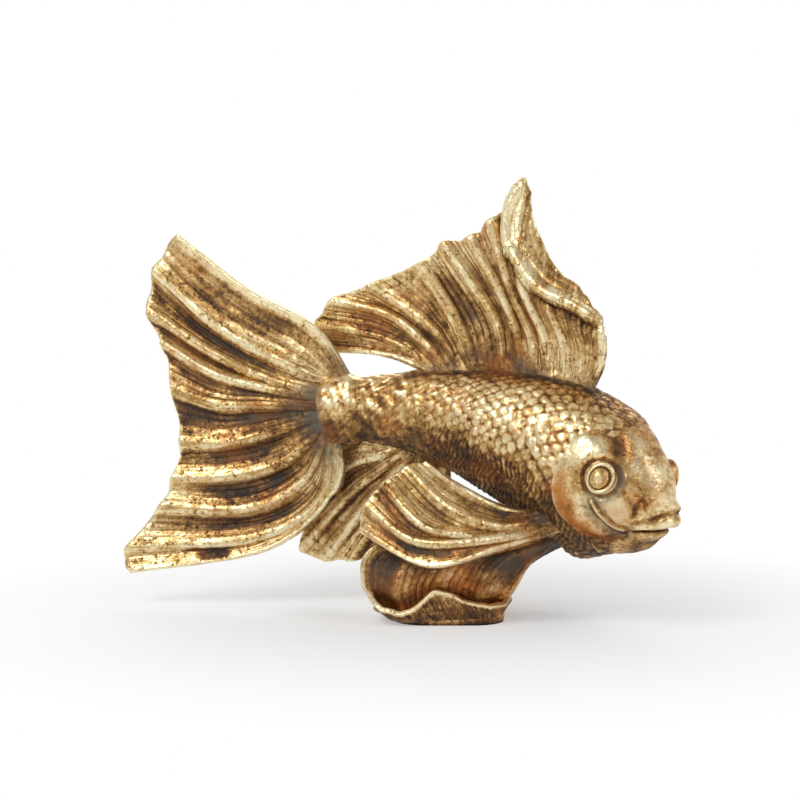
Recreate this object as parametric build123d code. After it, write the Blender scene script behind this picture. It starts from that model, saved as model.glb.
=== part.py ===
from build123d import *
import math
import os

os.makedirs("parts", exist_ok=True)

# A gilt goldfish ornament, cast hollow in sections and put together with tabs and pins.
# Lengths are millimetres and angles degrees. The origin is the middle of the foot's flat
# underside, +X runs toward the head, +Y away from the viewer and +Z up. The fish's right
# side is the near one.

# Body shell, a bent spindle from the tail's collar to the snout
collar_back = 76.5
collar_side = 24.0
collar_height = 117.0
body_length = 234.0
body_height = 90.0
body_width = 73.0
body_wall = 5.0
tail_heading = 8.0
head_heading = 42.0
tail_slope = -10.0
head_slope = 23.0
hollow_from_share = 0.25
hollow_to_share = 0.92
neck_share = 0.765
spine_steps = 120
section_points = 20
# along the spine, then the half heights up and down and the half width of each section
station_shares = (
    (0.00, 0.17, 0.17, 0.12),
    (0.06, 0.21, 0.21, 0.15),
    (0.14, 0.22, 0.23, 0.17),
    (0.24, 0.26, 0.27, 0.23),
    (0.36, 0.32, 0.34, 0.32),
    (0.50, 0.40, 0.43, 0.42),
    (0.63, 0.46, 0.48, 0.48),
    (0.73, 0.47, 0.53, 0.50),
    (0.82, 0.43, 0.51, 0.47),
    (0.90, 0.33, 0.42, 0.38),
    (0.96, 0.22, 0.31, 0.26),
    (1.00, 0.06, 0.11, 0.08),
)

# Fits, shared by every joint
fit_gap = 0.15
seat_gap = 0.3
cut_overrun = 30.0

# Neck sleeve and its radial pins
sleeve_depth = 8.0
sleeve_wall = 3.0
neck_pin_radius = 1.5
neck_pin_angles = (60.0, -60.0, 180.0)

# Gill covers, raised plates behind the eyes with a free rear edge
gill_lift = 1.8
gill_sink = 2.0
gill_angles = (38.0, 62.0, 88.0, 114.0, 142.0)
gill_rear_shares = (0.74, 0.715, 0.735, 0.775, 0.815)
gill_front_shares = (0.79, 0.79, 0.80, 0.84, 0.86)
gill_rows = 4

# Muzzle, a rounded end over the snout, and the slit of the mouth
muzzle_length = 8.5
muzzle_height = 10.5
muzzle_width = 11.0
muzzle_drop = 3.0
muzzle_share = 0.965
mouth_gap = 1.8
mouth_depth = 3.0
mouth_drop = 5.0
mouth_corner_share = 0.905

# Eyes, a ring and a dome on a shank
eye_ring_radius = 9.6
eye_groove_radius = 7.0
eye_dome_radius = 6.2
eye_ring_lift = 2.6
eye_dome_lift = 4.2
eye_flange = 2.4
eye_shank_radius = 4.0
eye_shank_length = 5.0
right_eye_share = 0.8475
right_eye_angle = 77.0
left_eye_share = 0.872
left_eye_angle = -82.0

# Fin sheets
root_sink = 4.0
root_thickness = 6.0
edge_thickness = 3.6
fold_growth_share = 0.45
samples_per_fold = 4
rows_per_span = 3

# Tail fin, fanned from the collar; ray points are back, up and near
tail_reach = 118.0
tail_spread = 200.0
tail_fold = 6.5
tail_ray_shares = (
    ((-0.12, 0.10, 0.0), (0.01, 0.26, 0.0), (0.36, 0.37, -0.02), (0.75, 0.54, -0.06)),
    ((-0.05, 0.09, 0.0), (0.20, 0.15, 0.0), (0.54, 0.26, -0.01), (0.87, 0.43, -0.05)),
    ((-0.05, 0.06, 0.0), (0.23, 0.09, 0.0), (0.57, 0.18, 0.0), (0.90, 0.30, -0.03)),
    ((-0.05, 0.04, 0.0), (0.26, 0.07, 0.01), (0.54, 0.11, 0.02), (0.81, 0.20, 0.0)),
    ((-0.05, 0.02, 0.0), (0.26, 0.02, 0.01), (0.52, 0.02, 0.03), (0.76, 0.06, 0.02)),
    ((-0.05, 0.0, 0.0), (0.23, -0.05, 0.01), (0.47, -0.09, 0.03), (0.72, -0.10, 0.03)),
    ((-0.05, -0.02, 0.0), (0.18, -0.14, 0.01), (0.46, -0.19, 0.02), (0.77, -0.20, 0.03)),
    ((-0.05, -0.04, 0.0), (0.08, -0.20, 0.0), (0.36, -0.29, 0.02), (0.83, -0.29, 0.03)),
    ((-0.07, -0.05, 0.0), (0.0, -0.26, 0.01), (0.34, -0.38, 0.02), (1.00, -0.41, 0.05)),
    ((-0.12, -0.06, 0.0), (-0.09, -0.22, 0.02), (0.26, -0.41, 0.03), (1.01, -0.49, 0.08)),
)
tenon_depth = 16.0
tenon_height = 20.0
tenon_thickness = 4.0
tenon_tail = 8.0
tail_pin_radius = 1.5
tail_pin_spacing = 10.0
tail_pin_length = 14.0

# Dorsal fin, on the ridge of the back; ray points are ahead, up and near
dorsal_height = 120.0
dorsal_fold = 5.0
dorsal_root_shares = (0.278, 0.302, 0.330, 0.357, 0.393, 0.457, 0.499, 0.536, 0.568, 0.606, 0.646, 0.681)
dorsal_ray_shares = (
    ((-0.17, 0.07, 0.0), (-0.34, 0.11, -0.02), (-0.57, 0.13, -0.08)),
    ((-0.16, 0.11, 0.0), (-0.36, 0.18, -0.01), (-0.67, 0.22, -0.05)),
    ((-0.15, 0.14, 0.0), (-0.34, 0.27, 0.0), (-0.64, 0.33, -0.01)),
    ((-0.12, 0.16, 0.0), (-0.26, 0.28, 0.0), (-0.48, 0.42, 0.01)),
    ((-0.09, 0.20, 0.0), (-0.20, 0.39, 0.01), (-0.30, 0.53, 0.02)),
    ((-0.04, 0.22, 0.0), (-0.16, 0.41, 0.01), (-0.31, 0.62, 0.02)),
    ((-0.04, 0.21, 0.0), (-0.13, 0.41, 0.01), (-0.27, 0.66, 0.02)),
    ((-0.04, 0.19, 0.0), (-0.15, 0.44, 0.02), (-0.26, 0.79, 0.02)),
    ((-0.03, 0.18, 0.0), (-0.16, 0.53, 0.05), (-0.14, 0.96, 0.0)),
    ((0.0, 0.16, 0.0), (-0.09, 0.42, 0.06), (-0.11, 0.62, -0.01)),
    ((0.02, 0.16, 0.0), (-0.01, 0.35, 0.06), (-0.02, 0.47, 0.0)),
    ((0.05, 0.13, 0.01), (0.08, 0.25, 0.04), (0.05, 0.34, 0.02)),
)
dorsal_fold_shares = (0.6, 0.8, 1.0, 1.0, 1.0, 1.0, 1.0, 1.0, 0.7, 0.4, 0.3)
dorsal_tab_shares = (0.38, 0.50, 0.62)

# Anal fin, under the belly behind the tail's lower lobe; ray points are ahead, up and near
anal_length = 90.0
anal_fold = 3.0
anal_root_shares = (0.215, 0.235, 0.255, 0.275, 0.300, 0.330, 0.365)
anal_ray_shares = (
    ((-0.11, 0.04, 0.02), (-0.28, 0.08, 0.02), (-0.48, 0.01, -0.11)),
    ((-0.18, -0.04, 0.01), (-0.42, -0.12, -0.06), (-0.70, -0.34, -0.15)),
    ((-0.21, -0.10, 0.0), (-0.49, -0.31, -0.08), (-0.82, -0.65, -0.14)),
    ((-0.20, -0.14, 0.0), (-0.43, -0.38, -0.08), (-0.72, -0.71, -0.14)),
    ((-0.18, -0.16, 0.0), (-0.37, -0.40, -0.08), (-0.60, -0.68, -0.14)),
    ((-0.12, -0.16, 0.0), (-0.25, -0.35, -0.06), (-0.43, -0.58, -0.14)),
    ((-0.03, -0.11, -0.01), (-0.12, -0.27, -0.05), (-0.25, -0.43, -0.11)),
)
anal_tab_shares = (0.30,)

# Pectoral fins, one on each side of the breast; ray points are ahead, up and outward
pectoral_length = 110.0
pectoral_fold = 5.0
pectoral_root_shares = (0.705, 0.73, 0.752, 0.768, 0.778)
pectoral_root_angles = (132.0, 134.0, 137.0, 139.0, 142.0)
pectoral_ray_shares = (
    ((-0.19, 0.01, 0.08), (-0.39, 0.12, 0.15), (-0.61, 0.26, 0.17)),
    ((-0.19, -0.03, 0.13), (-0.45, 0.06, 0.24), (-0.72, 0.26, 0.26)),
    ((-0.23, -0.03, 0.19), (-0.55, 0.0, 0.36), (-0.83, 0.22, 0.37)),
    ((-0.24, -0.03, 0.22), (-0.60, -0.05, 0.43), (-0.92, 0.13, 0.45)),
    ((-0.22, -0.06, 0.25), (-0.55, -0.12, 0.44), (-0.95, 0.05, 0.49)),
)
pectoral_tab_share = 0.735
pectoral_tab_angle = 136.0

# Foot, a flat-bottomed base with a wavy lip standing along its front
foot_length = 76.0
foot_width = 90.0
foot_thickness = 8.0
foot_corner = 22.0
foot_base_share = 0.82
lip_height = 18.0
lip_thickness = 5.0
lip_sink = 5.0
lip_column_shares = (-0.48, -0.36, -0.12, 0.18, 0.46)
lip_front_shares = (-0.28, -0.40, -0.44, -0.42, -0.30)
lip_lean_share = 0.05
lip_wave_shares = (0.36, 0.28, 0.96, 0.50, 0.48)

# Pelvic fins, from the breast down to the foot; ray points are shares of the way down to
# where the ray stands, moved along the foot's length and across its width
pelvic_fold = 4.0
pelvic_root_shares = (0.765, 0.755, 0.745, 0.735, 0.725)
pelvic_root_angle = 160.0
right_pelvic_ray_shares = (
    ((0.32, -0.13, -0.02), (0.73, -0.06, -0.01)),
    ((0.30, -0.28, -0.03), (0.70, -0.16, -0.02)),
    ((0.22, -0.48, -0.01), (0.53, -0.38, -0.02)),
    ((0.23, -0.70, 0.03), (0.65, -0.44, -0.02)),
    ((0.17, -1.00, 0.09), (0.64, -0.58, 0.01)),
)
right_pelvic_stand_shares = ((0.38, -0.27), (0.20, -0.30), (-0.10, -0.31), (-0.32, -0.28), (-0.42, -0.15))
left_pelvic_ray_shares = (
    ((0.34, -0.07, 0.11), (0.73, -0.07, 0.11)),
    ((0.29, -0.30, 0.17), (0.68, -0.18, 0.14)),
    ((0.24, -0.51, 0.24), (0.65, -0.27, 0.17)),
    ((0.24, -0.64, 0.26), (0.65, -0.36, 0.17)),
    ((0.19, -0.85, 0.27), (0.65, -0.44, 0.17)),
)
left_pelvic_stand_shares = ((0.40, 0.26), (0.26, 0.33), (0.04, 0.36), (-0.18, 0.34), (-0.36, 0.27))
pelvic_tab_share = 0.745
dowel_radius = 1.2
dowel_depth = 5.0
dowel_start_share = 0.62
dowel_rays = (1, 3)

# Tabs that pass through the body's wall, and the pins that lock them inside
tab_length = 12.0
tab_thickness = 3.0
tab_depth = 10.0
tab_rise = 2.5
lock_pin_radius = 1.2
lock_pin_length = 9.0
lock_pin_depth = 7.5


# Spine and skin of the body
def blend(low, high, share):
    return low + (high - low) * share


def heading(along):
    return math.radians(blend(tail_heading, head_heading, along))


def slope(along):
    return math.radians(blend(tail_slope, head_slope, 1 - (1 - along) ** 2))


def ahead(along):
    level = math.cos(slope(along))
    turn = heading(along)
    return Vector(level * math.cos(turn), -level * math.sin(turn), -math.sin(slope(along)))


def level_ahead(along):
    return Vector(math.cos(heading(along)), -math.sin(heading(along)), 0)


def near(along):
    return Vector(-math.sin(heading(along)), -math.cos(heading(along)), 0)


def upward(along):
    return near(along).cross(ahead(along))


def trace_spine():
    places = [Vector(-collar_back, collar_side, collar_height)]
    for step in range(spine_steps):
        middle = (step + 0.5) / spine_steps
        places.append(places[-1] + ahead(middle) * (body_length / spine_steps))
    return places


spine = trace_spine()


def spine_point(along):
    step = min(max(int(along * spine_steps), 0), spine_steps - 1)
    return spine[step] + (spine[step + 1] - spine[step]) * (along * spine_steps - step)


def through(points, place):
    """Smooth curve through evenly numbered points, read at place."""
    last = len(points) - 1
    first = min(max(int(place), 0), last - 1)
    share = place - first
    b, c = points[first], points[first + 1]
    a = points[first - 1] if first > 0 else b * 2 - c
    d = points[first + 2] if first + 2 <= last else c * 2 - b
    bend = a * 2 - b * 5 + c * 4 - d
    return (b * 2 + (c - a) * share + bend * share ** 2 + (b * 3 - a - c * 3 + d) * share ** 3) * 0.5


def station_place(along):
    for number in range(len(station_shares) - 1):
        low, high = station_shares[number][0], station_shares[number + 1][0]
        if along <= high:
            return number + max(along - low, 0) / (high - low)
    return len(station_shares) - 1


def radii(along):
    half_sizes = [Vector(up * body_height, down * body_height, wide * body_width)
                  for place, up, down, wide in station_shares]
    return through(half_sizes, station_place(along))


def body_point(along, angle, skin=0.0):
    """Point of the body's surface, raised by skin; angle 0 is the back's ridge, 90 the near side."""
    turn = math.radians(angle)
    size = radii(along)
    tall = (size.X if math.cos(turn) > 0 else size.Y) + skin
    wide = size.Z + skin
    rise, side = upward(along) * (tall * math.cos(turn)), near(along) * (wide * math.sin(turn))
    return spine_point(along) + rise + side


def outward(along, angle):
    return (body_point(along, angle) - spine_point(along)).normalized()


def section(along, skin):
    points = [body_point(along, 360 * number / section_points, skin) for number in range(section_points)]
    parameters = [number / section_points for number in range(section_points + 1)]
    return Wire([Edge.make_spline(points, periodic=True, parameters=parameters)])


def body_loft(start, end, skin):
    places = [place for place, *sizes in station_shares if start < place < end]
    return Solid.make_loft([section(along, skin) for along in [start] + places + [end]])


def neck_plane(back=0.0):
    return Plane(origin=spine_point(neck_share) - level_ahead(neck_share) * back,
                 x_dir=near(neck_share), z_dir=level_ahead(neck_share))


def before_neck(back=0.0):
    size = body_length + cut_overrun
    return neck_plane(back) * Pos(0, 0, size / 2) * Box(size, size, size)


def peg(start, direction, radius, length):
    return Solid.make_cylinder(radius, length, Plane(origin=start, z_dir=direction))


# Fin sheets
def smooth_grid(rays, columns, rows):
    """Points of the smooth sheet through the rays, as columns of rows."""
    spans = len(rays[0]) - 1
    levels = [[through(ray, spans * row / rows) for ray in rays] for row in range(rows + 1)]
    return [[through(level, (len(rays) - 1) * column / columns) for level in levels]
            for column in range(columns + 1)]


def grid_normal(grid, column, row, facing):
    last, deep = len(grid) - 1, len(grid[0]) - 1
    side = grid[min(column + 1, last)][row] - grid[max(column - 1, 0)][row]
    fall = grid[column][min(row + 1, deep)] - grid[column][max(row - 1, 0)]
    normal = side.cross(fall).normalized()
    return normal if normal.dot(facing) > 0 else normal * -1


def smooth_face(grid):
    """Smooth face through a grid of points."""
    curves = []
    for points in grid:
        parameters = [number / (len(points) - 1) for number in range(len(points))]
        curves.append(Wire([Edge.make_spline(points, parameters=parameters)]))
    return Shell.make_loft(curves).faces()[0]


def slab(front_grid, back_grid):
    """Closed solid between two smooth faces."""
    front, back = smooth_face(front_grid), smooth_face(back_grid)
    walls = Shell.make_loft([front.outer_wire(), back.outer_wire()], ruled=True)
    return Solid(Shell([front, back] + list(walls.faces())))


def fin_sheet(rays, folds, facing):
    """Folded sheet with a crest on each ray and a valley between rays."""
    columns = (len(rays) - 1) * samples_per_fold
    rows = (len(rays[0]) - 1) * rows_per_span
    grid = smooth_grid(rays, columns, rows)
    front_points, back_points = [], []
    for column in range(columns + 1):
        fold = folds[min(column // samples_per_fold, len(folds) - 1)]
        valley = fold * (1 - math.cos(2 * math.pi * column / samples_per_fold)) / 2
        front_row, back_row = [], []
        for row in range(rows + 1):
            depth = valley * min(row / rows / fold_growth_share, 1)
            half = blend(root_thickness, edge_thickness, row / rows) / 2
            normal = grid_normal(grid, column, row, facing)
            middle = grid[column][row] - normal * depth
            front_row.append(middle + normal * half)
            back_row.append(middle - normal * half)
        front_points.append(front_row)
        back_points.append(back_row)
    return slab(front_points, back_points)


def tab_plane(along, angle):
    return Plane(origin=body_point(along, angle), x_dir=ahead(along), z_dir=outward(along, angle))


def tab(along, angle, gap=0.0):
    """Flat tab through the skin, with a clearance all round when it cuts its slot."""
    size = (tab_length + 2 * gap, tab_thickness + 2 * gap, tab_depth + tab_rise + gap)
    return tab_plane(along, angle) * Pos(0, 0, (tab_rise - tab_depth - gap) / 2) * Box(*size)


def lock_pin(along, angle, gap=0.0):
    """Pin across a tab, just inside the wall."""
    plane = tab_plane(along, angle)
    start = plane.origin - plane.z_dir * lock_pin_depth - plane.y_dir * (lock_pin_length / 2 + gap)
    return peg(start, plane.y_dir, lock_pin_radius + gap, lock_pin_length + 2 * gap)


def body_ray(along, angle, side, length, shares, sink):
    """Ray of a fin from the skin, in steps ahead, up and outward."""
    root = body_point(along, angle, -sink)
    surface = body_point(along, angle)
    forward, aside = level_ahead(along) * length, near(along) * (side * length)
    up = Vector(0, 0, length)
    steps = [surface + forward * front + up * rise + aside * out for front, rise, out in shares]
    return [root] + steps


def tail_ray(shares):
    back, aside = level_ahead(0) * -tail_reach, near(0) * tail_reach
    return [spine_point(0) + back * behind + Vector(0, 0, tail_spread) * rise + aside * out
            for behind, rise, out in shares]


def pelvic_ray(along, side, shares, stand):
    root = body_point(along, side * pelvic_root_angle, -root_sink)
    lift = seat_gap + edge_thickness / 3
    foot = Vector(foot_length * stand[0], foot_width * stand[1], foot_thickness + lift)
    steps = [root + (foot - root) * down + Vector(foot_length * run, foot_width * out, 0)
             for down, run, out in shares]
    return [root] + steps + [foot]


def biggest(shape):
    return max(shape.solids(), key=lambda solid: solid.volume)


envelope = body_loft(0.0, 1.0, seat_gap)


def fitted(sheet, back=0.0):
    """Sheet trimmed to sit on the body with the seat's clearance."""
    return biggest(sheet - Pos(ahead(0) * -back) * envelope)


def tail_tenon(gap=0.0):
    plane = Plane(origin=spine_point(0), x_dir=ahead(0), z_dir=near(0))
    size = (tenon_depth + tenon_tail + gap, tenon_height + 2 * gap, tenon_thickness + 2 * gap)
    return plane * Pos((tenon_depth - tenon_tail + gap) / 2, 0, 0) * Box(*size)


def tail_pin_starts():
    middle = spine_point(0) + ahead(0) * (tenon_depth / 2)
    out = near(0) * (tail_pin_length / 2)
    return [middle + out + upward(0) * (sign * tail_pin_spacing / 2) for sign in (1, -1)]


def tail_pin(start, gap=0.0, extra=0.0):
    return peg(start, near(0) * -1, tail_pin_radius + gap, tail_pin_length + extra)


def make_tail_fin():
    sheet = fin_sheet([tail_ray(shares) for shares in tail_ray_shares], [tail_fold], near(0))
    fin = fitted(sheet, seat_gap) + tail_tenon()
    for start in tail_pin_starts():
        fin -= tail_pin(start, fit_gap)
    return biggest(fin)


def make_dorsal_fin():
    rays = [body_ray(along, 0, 1, dorsal_height, shares, -seat_gap)
            for along, shares in zip(dorsal_root_shares, dorsal_ray_shares)]
    folds = [dorsal_fold * share for share in dorsal_fold_shares]
    fin = fin_sheet(rays, folds, near(dorsal_root_shares[0]))
    for along in dorsal_tab_shares:
        fin += tab(along, 0)
        fin -= lock_pin(along, 0, fit_gap)
    return biggest(fin)


def make_anal_fin():
    rays = [body_ray(along, 180, 1, anal_length, shares, root_sink)
            for along, shares in zip(anal_root_shares, anal_ray_shares)]
    fin = fitted(fin_sheet(rays, [anal_fold], near(0)))
    for along in anal_tab_shares:
        fin += tab(along, 180)
        fin -= lock_pin(along, 180, fit_gap)
    return biggest(fin)


def make_pectoral_fin(side):
    roots = zip(pectoral_root_shares, pectoral_root_angles, pectoral_ray_shares)
    rays = [body_ray(along, side * angle, side, pectoral_length, shares, root_sink)
            for along, angle, shares in roots]
    fin = fitted(fin_sheet(rays, [pectoral_fold], near(neck_share) * side))
    fin += tab(pectoral_tab_share, side * pectoral_tab_angle)
    fin -= lock_pin(pectoral_tab_share, side * pectoral_tab_angle, fit_gap)
    return biggest(fin)


def pelvic_rays(side):
    ray_shares = right_pelvic_ray_shares if side > 0 else left_pelvic_ray_shares
    stand_shares = right_pelvic_stand_shares if side > 0 else left_pelvic_stand_shares
    return [pelvic_ray(along, side, shares, stand)
            for along, shares, stand in zip(pelvic_root_shares, ray_shares, stand_shares)]


def foot_dowel(ray, gap=0.0):
    """Pin along a ray, from inside the fin's sheet down into the foot."""
    start = through(ray, len(ray) - 2 + dowel_start_share)
    along = ray[-1] - start
    length = along.length + dowel_depth
    return peg(start - along.normalized() * gap, along, dowel_radius + gap, length + 2 * gap)


def foot_dowels(side, gap=0.0):
    rays = pelvic_rays(side)
    return [foot_dowel(rays[number], gap) for number in dowel_rays]


def make_pelvic_fin(side):
    fin = fitted(fin_sheet(pelvic_rays(side), [pelvic_fold], near(0) * side))
    fin += tab(pelvic_tab_share, side * pelvic_root_angle)
    fin -= lock_pin(pelvic_tab_share, side * pelvic_root_angle, fit_gap)
    for dowel in foot_dowels(side, fit_gap):
        fin -= dowel
    return biggest(fin)


def foot_lip():
    """Wavy wall along the front of the foot, leaning outward."""
    front, back = [], []
    for column, depth, wave in zip(lip_column_shares, lip_front_shares, lip_wave_shares):
        x = foot_length * column
        low, high = foot_thickness - lip_sink, foot_thickness + lip_height * wave
        front_row, back_row = [], []
        for level in (0.0, 0.5, 1.0):
            y = foot_width * (depth - lip_lean_share * level)
            front_row.append(Vector(x, y, blend(low, high, level)))
            back_row.append(Vector(x, y + lip_thickness, blend(low, high, level)))
        front.append(front_row)
        back.append(back_row)
    return slab(front, back)


def foot_outline(share):
    return RectangleRounded(foot_length * share, foot_width * share, foot_corner * share)


def foot_base():
    return loft([foot_outline(foot_base_share), Pos(0, 0, foot_thickness) * foot_outline(1.0)])


def make_foot():
    foot = foot_base() + foot_lip()
    for side in (1, -1):
        for dowel in foot_dowels(side, fit_gap):
            foot -= dowel
    return biggest(foot)


def make_body_shell():
    outer = body_loft(0.0, 1.0, 0.0)
    hollow = body_loft(hollow_from_share, hollow_to_share, -body_wall)
    return outer - hollow


def side_tabs():
    """Places of every tab, by fin."""
    places = {"dorsal": [(along, 0.0) for along in dorsal_tab_shares]}
    places["anal"] = [(along, 180.0) for along in anal_tab_shares]
    for name, side in (("right", 1), ("left", -1)):
        places[name + "_pectoral"] = [(pectoral_tab_share, side * pectoral_tab_angle)]
        places[name + "_pelvic"] = [(pelvic_tab_share, side * pelvic_root_angle)]
    return places


def neck_pin(angle, gap=0.0):
    """Radial pin through the neck's wall and the sleeve inside it."""
    turn = math.radians(angle)
    direction = Vector(0, 0, 1) * math.cos(turn) + near(neck_share) * math.sin(turn)
    return peg(neck_plane(sleeve_depth / 2).origin, direction, neck_pin_radius + gap, body_height)


def make_neck_pins():
    skin = body_loft(hollow_from_share, hollow_to_share, -seat_gap)
    core = body_loft(hollow_from_share, hollow_to_share, -body_wall - fit_gap - sleeve_wall)
    return [biggest((neck_pin(angle) & skin) - core) for angle in neck_pin_angles]


def make_torso(shell):
    torso = shell - before_neck()
    torso -= tail_tenon(fit_gap)
    for start in tail_pin_starts():
        torso -= tail_pin(start, fit_gap, cut_overrun)
    for places in side_tabs().values():
        for along, angle in places:
            torso -= tab(along, angle, fit_gap)
            torso -= lock_pin(along, angle, fit_gap)
    for angle in neck_pin_angles:
        torso -= neck_pin(angle, fit_gap)
    return biggest(torso)


def gill_cover(side):
    """Plate that rises from the cheek toward its free rear edge."""
    top, bottom = [], []
    for angle, rear, front in zip(gill_angles, gill_rear_shares, gill_front_shares):
        places = [blend(front, rear, row / gill_rows) for row in range(gill_rows + 1)]
        lifts = [gill_lift * row / gill_rows for row in range(gill_rows + 1)]
        top.append([body_point(along, side * angle, lift) for along, lift in zip(places, lifts)])
        bottom.append([body_point(along, side * angle, -gill_sink) for along in places])
    return slab(top, bottom)


def snout_plane(along, drop):
    """Level plane under the spine, facing the way the head looks."""
    return Plane(origin=spine_point(along) - Vector(0, 0, drop), x_dir=level_ahead(1.0), z_dir=(0, 0, 1))


def muzzle():
    ball = scale(Sphere(1), (muzzle_length, muzzle_width, muzzle_height))
    return snout_plane(muzzle_share, muzzle_drop) * ball


def mouth_slit():
    """Thin level groove round the snout, as deep as the mouth's depth."""
    corner = spine_point(mouth_corner_share)
    reach = (spine_point(1.0) - corner).length + cut_overrun
    plane = snout_plane(1.0, mouth_drop)
    start = plane.to_local_coords(corner).X
    slot = plane * Pos(start + reach / 2, 0, 0) * Box(reach, body_width, mouth_gap)
    return slot - body_loft(hollow_from_share, 1.0, -mouth_depth)


def eye_plane(along, angle):
    return Plane(origin=body_point(along, angle), x_dir=ahead(along), z_dir=outward(along, angle))


def make_eye(plane):
    bottom = -eye_flange
    profile = Polyline(
        (0, bottom - eye_shank_length),
        (eye_shank_radius, bottom - eye_shank_length),
        (eye_shank_radius, bottom),
        (eye_ring_radius, bottom),
        (eye_ring_radius, eye_ring_lift / 2),
        (blend(eye_groove_radius, eye_ring_radius, 0.5), eye_ring_lift),
        (eye_groove_radius, eye_ring_lift / 2),
        (eye_dome_radius, 0),
        (0, 0),
        close=True,
    )
    turned = revolve(Plane.XZ * make_face(profile), Axis.Z)
    ball = scale(Sphere(eye_dome_radius), (1, 1, eye_dome_lift / eye_dome_radius))
    return plane * (turned + split(ball, bisect_by=Plane.XY, keep=Keep.TOP))


def eye_socket(plane):
    seat = eye_flange + seat_gap
    upright = (Align.CENTER, Align.CENTER, Align.MIN)
    bore = Pos(0, 0, -seat) * Cylinder(eye_ring_radius + fit_gap, seat + cut_overrun, align=upright)
    shank = Cylinder(eye_shank_radius + fit_gap, body_wall * 2 + cut_overrun / 2)
    return plane * (bore + Pos(0, 0, -body_wall) * shank)


def make_head():
    plug = body_loft(hollow_from_share, hollow_to_share, -body_wall - fit_gap) & before_neck(sleeve_depth)
    core = body_loft(hollow_from_share, hollow_to_share, -body_wall - fit_gap - sleeve_wall)
    head = (body_loft(0.0, 1.0, 0.0) & before_neck()) + plug - core
    for side in (1, -1):
        head += gill_cover(side) & before_neck()
    head = head + muzzle() - mouth_slit()
    for along, angle in ((right_eye_share, right_eye_angle), (left_eye_share, left_eye_angle)):
        head -= eye_socket(eye_plane(along, angle))
    for angle in neck_pin_angles:
        head -= neck_pin(angle, fit_gap)
    return biggest(head)


def write(name, *solids):
    shape = solids[0] if len(solids) == 1 else Compound(children=list(solids))
    shape.label = name
    export_step(shape, "parts/" + name + ".step")
    print(name, len(shape.solids()), round(sum(solid.volume for solid in shape.solids())))


write("torso", make_torso(make_body_shell()))
write("head", make_head())
write("right_eye", make_eye(eye_plane(right_eye_share, right_eye_angle)))
write("left_eye", make_eye(eye_plane(left_eye_share, left_eye_angle)))
write("tail_fin", make_tail_fin())
write("dorsal_fin", make_dorsal_fin())
write("anal_fin", make_anal_fin())
for name, side in (("right", 1), ("left", -1)):
    write(name + "_pectoral_fin", make_pectoral_fin(side))
    write(name + "_pelvic_fin", make_pelvic_fin(side))
    write(name + "_pelvic_dowels", *foot_dowels(side))
write("foot", make_foot())
write("neck_pins", *make_neck_pins())
write("tail_pins", *[tail_pin(start) for start in tail_pin_starts()])
for name, places in side_tabs().items():
    plural = "_pins" if len(places) > 1 else "_pin"
    write(name + plural, *[lock_pin(along, angle) for along, angle in places])
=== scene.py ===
import math
import bpy
import numpy as np
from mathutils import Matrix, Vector


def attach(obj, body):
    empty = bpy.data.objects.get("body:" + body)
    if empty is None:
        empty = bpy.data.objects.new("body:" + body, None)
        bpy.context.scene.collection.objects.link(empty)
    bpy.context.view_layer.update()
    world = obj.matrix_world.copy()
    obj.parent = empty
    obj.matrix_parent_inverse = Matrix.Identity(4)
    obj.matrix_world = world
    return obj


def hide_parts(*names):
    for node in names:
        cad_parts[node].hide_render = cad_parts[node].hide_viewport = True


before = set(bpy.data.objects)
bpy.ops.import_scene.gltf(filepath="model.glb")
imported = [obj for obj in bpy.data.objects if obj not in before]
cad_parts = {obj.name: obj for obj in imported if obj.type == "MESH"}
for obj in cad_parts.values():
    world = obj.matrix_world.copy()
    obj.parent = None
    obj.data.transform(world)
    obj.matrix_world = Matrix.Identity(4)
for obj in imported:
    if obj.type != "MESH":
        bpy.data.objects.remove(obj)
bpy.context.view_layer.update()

scene = bpy.context.scene
mm = 0.001  # shapes are worked out in millimetres and leave as metres


# curves and small helpers
def through(points, place):
    # smooth curve through rows of points, place counted in points, straight past the ends
    points = np.asarray(points, float)
    count = len(points)
    padded = np.concatenate([[2 * points[0] - points[1]], points, [2 * points[-1] - points[-2]]])
    place = np.asarray(place, float)
    inside = np.clip(place, 0, count - 1)
    low = np.minimum(inside.astype(int), count - 2)
    f = (inside - low).reshape(place.shape + (1,) * (points.ndim - 1))
    a, b, c, d = padded[low], padded[low + 1], padded[low + 2], padded[low + 3]
    value = 2 * b + (c - a) * f + (2 * a - 5 * b + 4 * c - d) * f ** 2 + (3 * b - a - 3 * c + d) * f ** 3
    beyond = (place - inside).reshape(f.shape)
    return 0.5 * value + beyond * np.where(beyond > 0, points[-1] - points[-2], points[1] - points[0])


def ease(low, high, value):
    share = np.clip((value - low) / (high - low), 0, 1)
    return share * share * (3 - 2 * share)


def bell(value, width):
    return np.exp(-(value / width) ** 2)


def wander(x, y, seed, reach=1.0, waves=7):
    # smooth wandering value between about -1 and 1
    rng = np.random.default_rng(seed)
    total = 0
    turns, starts = rng.uniform(0, 6.28, waves), rng.uniform(0, 6.28, waves)
    for turn, pace, start in zip(turns, rng.uniform(0.5, 1.6, waves), starts):
        total = total + np.sin((np.cos(turn) * x + np.sin(turn) * y) * pace / reach + start)
    return total / math.sqrt(waves * 2)


def gridNormals(grid, wrap=False):
    # unit normals of a grid of points
    if wrap:
        across = np.roll(grid, -1, 0) - np.roll(grid, 1, 0)
    else:
        across = np.gradient(grid, axis=0)
    along = np.gradient(grid, axis=1)
    normal = np.cross(across, along)
    return normal / np.maximum(np.linalg.norm(normal, axis=-1, keepdims=True), 1e-9)


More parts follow.
